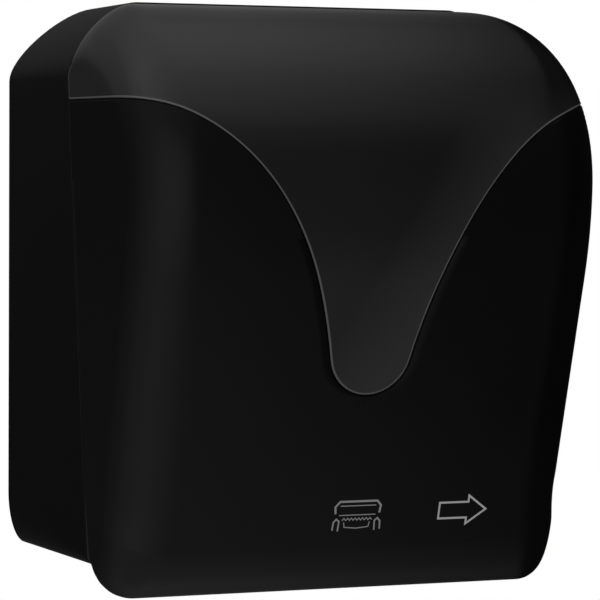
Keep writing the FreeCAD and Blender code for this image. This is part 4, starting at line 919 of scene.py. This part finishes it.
def housing_outline(share, inset, depth_shift=0.0):
    """Closed outline of the housing. Share 0 is at the wall and 1 at the seam."""
    def size(at_wall, at_seam):
        return at_wall + (at_seam - at_wall) * share - inset

    half, high, low = WIDTH / 2 - inset, HEIGHT - inset, HOUSING_FOOT + inset
    top = (size(WALL_CORNER[0], SEAM_CORNER), size(WALL_CORNER[1], SEAM_CORNER))
    foot = (size(WALL_FOOT[0], FOOT_CORNER), size(WALL_FOOT[1], FOOT_CORNER))

    def corner(side, up, z, corner_size, pull):
        """From the flank to the horizontal edge."""
        width, height = corner_size
        poles = ((side * half, z - up * height), (side * half, z - up * height * (1 - pull)),
                 (side * (half - width * (1 - pull)), z), (side * (half - width), z))
        return [cubic(poles, step / CORNER_STEPS) for step in range(CORNER_STEPS + 1)]

    def between(start, end):
        return spread(start, end, LINE_STEPS)[1:-1]

    right_top, left_top = (corner(side, 1, high, top, SOFT) for side in (1, -1))
    right_foot, left_foot = (corner(side, -1, low, foot, ROUND) for side in (1, -1))
    loop = right_top + between(right_top[-1], left_top[-1]) + left_top[::-1]
    loop += between(left_top[0], left_foot[0]) + left_foot
    loop += between(left_foot[-1], right_foot[-1]) + right_foot[::-1]
    loop += between(right_foot[0], right_top[0])
    return [place(x, share * (seam_depth(height) - SEAM_GAP / 2) + depth_shift, height)
            for x, height in loop]


def cup_mesh():
    mesh = bmesh.new()
    rings = [housing_outline(0, CUP_EDGE), housing_outline(0, 0, CUP_EDGE)]
    rings += [housing_outline(step / CUP_STEPS, 0) for step in range(1, CUP_STEPS)]
    rings += [housing_outline(1, 0, -CUP_EDGE), housing_outline(1, CUP_EDGE), housing_outline(1, WALL)]
    rings += [housing_outline(step / CUP_STEPS, WALL) for step in range(CUP_STEPS - 1, 0, -1)]
    rings.append(housing_outline(0, WALL, WALL))
    add_tube(mesh, rings)
    return mesh


def housing_openings():
    cutters = bmesh.new()
    add_box(cutters, place(*EXIT_LOW), place(*EXIT_HIGH))
    for x in (-SCREW_X, SCREW_X):
        for height in SCREW_HEIGHTS:
            start, end = (place(x, depth, height) for depth in SCREW_HOLE_DEPTHS)
            add_cylinder(cutters, SCREW_HOLE_RADIUS, start, end, segments=32)
    start, end = (place(x, *DRUM_AXIS) for x in KNOB_OPENING_X)
    add_cylinder(cutters, KNOB_OPENING_RADIUS, start, end, segments=96)
    for radius, deep, segments in ((LOCK_RADIUS, LOCK_CUT, 64), (LOCK_SEAT_RADIUS, LOCK_SEAT, 96)):
        start, end = (place(0, LOCK_DEPTH, height) for height in (HEIGHT - deep, HEIGHT + CUT_ABOVE))
        add_cylinder(cutters, radius, start, end, segments)
    return cutters


def make_housing():
    housing = mesh_object("housing_shell", cup_mesh(), housing_black)
    cut_away(housing, housing_openings())
    feet = bmesh.new()
    for x, height in BOSSES:
        for side in (-1, 1):
            start, end = (place(side * x, depth, height) for depth in BOSS_DEPTHS)
            add_cylinder(feet, BOSS_RADIUS, start, end, segments=40)
    boss_piece = mesh_object("housing_bosses", feet, housing_black)
    lugs = bmesh.new()
    for side in (-1, 1):
        ends = sorted((side * LUG_X[0], side * LUG_X[1]))
        add_prism(lugs, LUG_OUTLINE, *ends)
        add_cylinder(lugs, EYE_RADIUS, place(ends[0], *HINGE), place(ends[1], *HINGE))
    lug_piece = mesh_object("hinge_lugs", lugs, housing_black)
    for piece in (housing, boss_piece, lug_piece):
        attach(piece, "housing")
        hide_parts("rear_housing")


# Marks printed on the lower front, which is a flat slope there

def on_front(x, height, lift):
    lean = math.atan(FRONT_LEAN)
    return place(x, front_depth(height) + lift * math.cos(lean), height - lift * math.sin(lean))


def add_stroke(mesh, points, width, closed=False):
    """A printed line through (x, height) points."""
    points = [Vector(point) for point in points]
    count = len(points)
    sides = []
    for index, point in enumerate(points):
        before = points[index - 1] if closed or index else point
        after = points[(index + 1) % count] if closed or index < count - 1 else point
        first = (point - before).normalized() if before != point else (after - point).normalized()
        last = (after - point).normalized() if after != point else first
        across = Vector((-(first + last)[1], (first + last)[0])).normalized()
        reach = width / 2 / max(across.dot(Vector((-first[1], first[0]))), SHARPEST_TURN)
        sides.append((point + across * reach, point - across * reach))
    corners = [[mesh.verts.new(on_front(*spot, lift)) for lift in (MARK_LIFT, MARK_ROOT) for spot in pair]
               for pair in sides]
    for index in range(count if closed else count - 1):
        first, last = corners[index], corners[(index + 1) % count]
        for one, two in ((0, 1), (1, 3), (3, 2), (2, 0)):
            mesh.faces.new((first[one], first[two], last[two], last[one]))
    if not closed:
        for end in (corners[0], corners[-1]):
            mesh.faces.new((end[0], end[1], end[3], end[2]))


def make_marks():
    """An outlined arrow to the right, and a sign of hands at the towel's edge below a rounded lid."""
    arrow = bmesh.new()
    add_stroke(arrow, ARROW, ARROW_STROKE, closed=True)
    towel = bmesh.new()
    add_stroke(towel, LID, BOLD)
    for line in LID_LINES:
        add_stroke(towel, line, FINE)
    teeth = [(SIGN_MIDDLE + TOOTH_PITCH * step, TOOTH_HEIGHTS[step % 2]) for step in range(-TEETH, TEETH + 1)]
    add_stroke(towel, teeth, FINE)
    add_stroke(towel, TOWEL_EDGE, FINE)
    for side in (-1, 1):
        add_stroke(towel, [(SIGN_MIDDLE + side * x, height) for x, height in FINGER], FINGER_STROKE)
    for name, mesh, ink in (("pull_arrow", arrow, print_grey), ("towel_sign", towel, print_faint)):
        mark = mesh_object(name, mesh, ink)
        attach(mark, "cover")


# Camera, lights and floor

def make_camera():
    data = bpy.data.cameras.new("camera")
    data.lens = CAMERA_LENS
    data.sensor_width = CAMERA_SENSOR
    camera = add_object("camera", data)
    camera.location = CAMERA_PLACE
    turn, pitch, roll = (math.radians(value) for value in (CAMERA_TURN, CAMERA_PITCH, CAMERA_ROLL))
    look = Matrix.Rotation(-turn, 3, "Z") @ Matrix.Rotation(math.pi / 2 - pitch, 3, "X")
    camera.rotation_euler = (look @ Matrix.Rotation(roll, 3, "Z")).to_euler()
    bpy.context.scene.camera = camera


def read_level(tree, value, stops):
    """Brightness at a value, read off the line through (value, brightness) stops."""
    low, high = stops[0][0], stops[-1][0]
    share = calculate(tree, "DIVIDE", calculate(tree, "SUBTRACT", value, low), high - low, clamp=True)
    ramp = tree.nodes.new("ShaderNodeValToRGB")
    elements = ramp.color_ramp.elements
    while len(elements) < len(stops):
        elements.new(0.5)
    for element, (position, level) in zip(elements, stops):
        element.position = (position - low) / (high - low)
        element.color = (level, level, level, 1)
    tree.links.new(share, ramp.inputs["Fac"])
    return ramp.outputs["Color"]


def studio_pattern(tree):
    """Brightness of the studio as gloss shows it: a long box overhead, a soft box at the front left and a
    pale floor, in a dim room."""
    coordinates = tree.nodes.new("ShaderNodeTexCoord")
    split = tree.nodes.new("ShaderNodeSeparateXYZ")
    tree.links.new(coordinates.outputs["Generated"], split.inputs[0])
    x, y, z = split.outputs

    def rise(value, start, rate):
        return calculate(tree, "MULTIPLY", calculate(tree, "SUBTRACT", value, start), rate)

    out_of_wall = calculate(tree, "MULTIPLY", y, -1.0)
    arc = calculate(tree, "DEGREES", calculate(tree, "ARCTAN2", z, out_of_wall))
    along_arc, across = read_level(tree, arc, ARC_LEVELS), read_level(tree, x, SIDE_LEVELS)
    overhead = calculate(tree, "MULTIPLY", along_arc, across)
    sideways = calculate(tree, "MULTIPLY", x, SOFT_BOX[0])
    toward_box = calculate(tree, "ADD", sideways, calculate(tree, "MULTIPLY", y, SOFT_BOX[1]))
    ring = read_level(tree, toward_box, BOX_LEVELS)
    steep = rise(calculate(tree, "ABSOLUTE", z), STEEP_FROM, STEEP_RATE)
    rightward = rise(x, RIGHT_FROM, RIGHT_RATE)
    over_the_back = calculate(tree, "MINIMUM", rise(z, 0.0, BACK_UP_RATE), rise(y, 0.0, BACK_RATE))
    weight = calculate(tree, "MAXIMUM", calculate(tree, "MAXIMUM", steep, rightward), over_the_back)
    weight = calculate(tree, "MAXIMUM", calculate(tree, "MINIMUM", weight, 1.0), 0.0)
    return mix_colours(tree, weight, ring, overhead)


def make_world():
    world = bpy.data.worlds.new("studio")
    bpy.context.scene.world = world
    world.use_nodes = True
    tree = world.node_tree
    tree.nodes.clear()
    output = tree.nodes.new("ShaderNodeOutputWorld")
    background = tree.nodes.new("ShaderNodeBackground")
    tree.links.new(background.outputs["Background"], output.inputs["Surface"])
    background.inputs["Strength"].default_value = 1
    ray = tree.nodes.new("ShaderNodeLightPath")
    room = (ROOM_LEVEL, ROOM_LEVEL, ROOM_LEVEL, 1)
    light = mix_colours(tree, ray.outputs["Is Glossy Ray"], room, studio_pattern(tree))
    seen = mix_colours(tree, ray.outputs["Is Camera Ray"], light, (1, 1, 1, 1))
    tree.links.new(seen, background.inputs["Color"])


def soft_light(name, size, power, spot, target):
    data = bpy.data.lights.new(name, "AREA")
    data.shape = "RECTANGLE"
    data.size, data.size_y = size
    data.energy = power
    light = add_object(name, data)
    light.location = spot
    light.visible_glossy = False
    light.rotation_euler = (Vector(target) - Vector(spot)).to_track_quat("-Z", "Y").to_euler()


def make_floor():
    mesh = bmesh.new()
    bmesh.ops.create_grid(mesh, x_segments=1, y_segments=1, size=FLOOR_HALF)
    floor = mesh_object("floor", mesh, floor_pale)
    floor.location = (0, 0, FLOOR_HEIGHT)
    floor.visible_glossy = False


finish_cad_nodes()
make_cover()
make_cover_inside()
make_window()
make_housing()
make_marks()
make_camera()
make_world()
make_floor()
soft_light("key_light", size=(1.5, 1.5), power=20, spot=(-1.5, -2.0, 1.6), target=(0, -0.1, 0))
bpy.context.scene.view_settings.view_transform = "Standard"
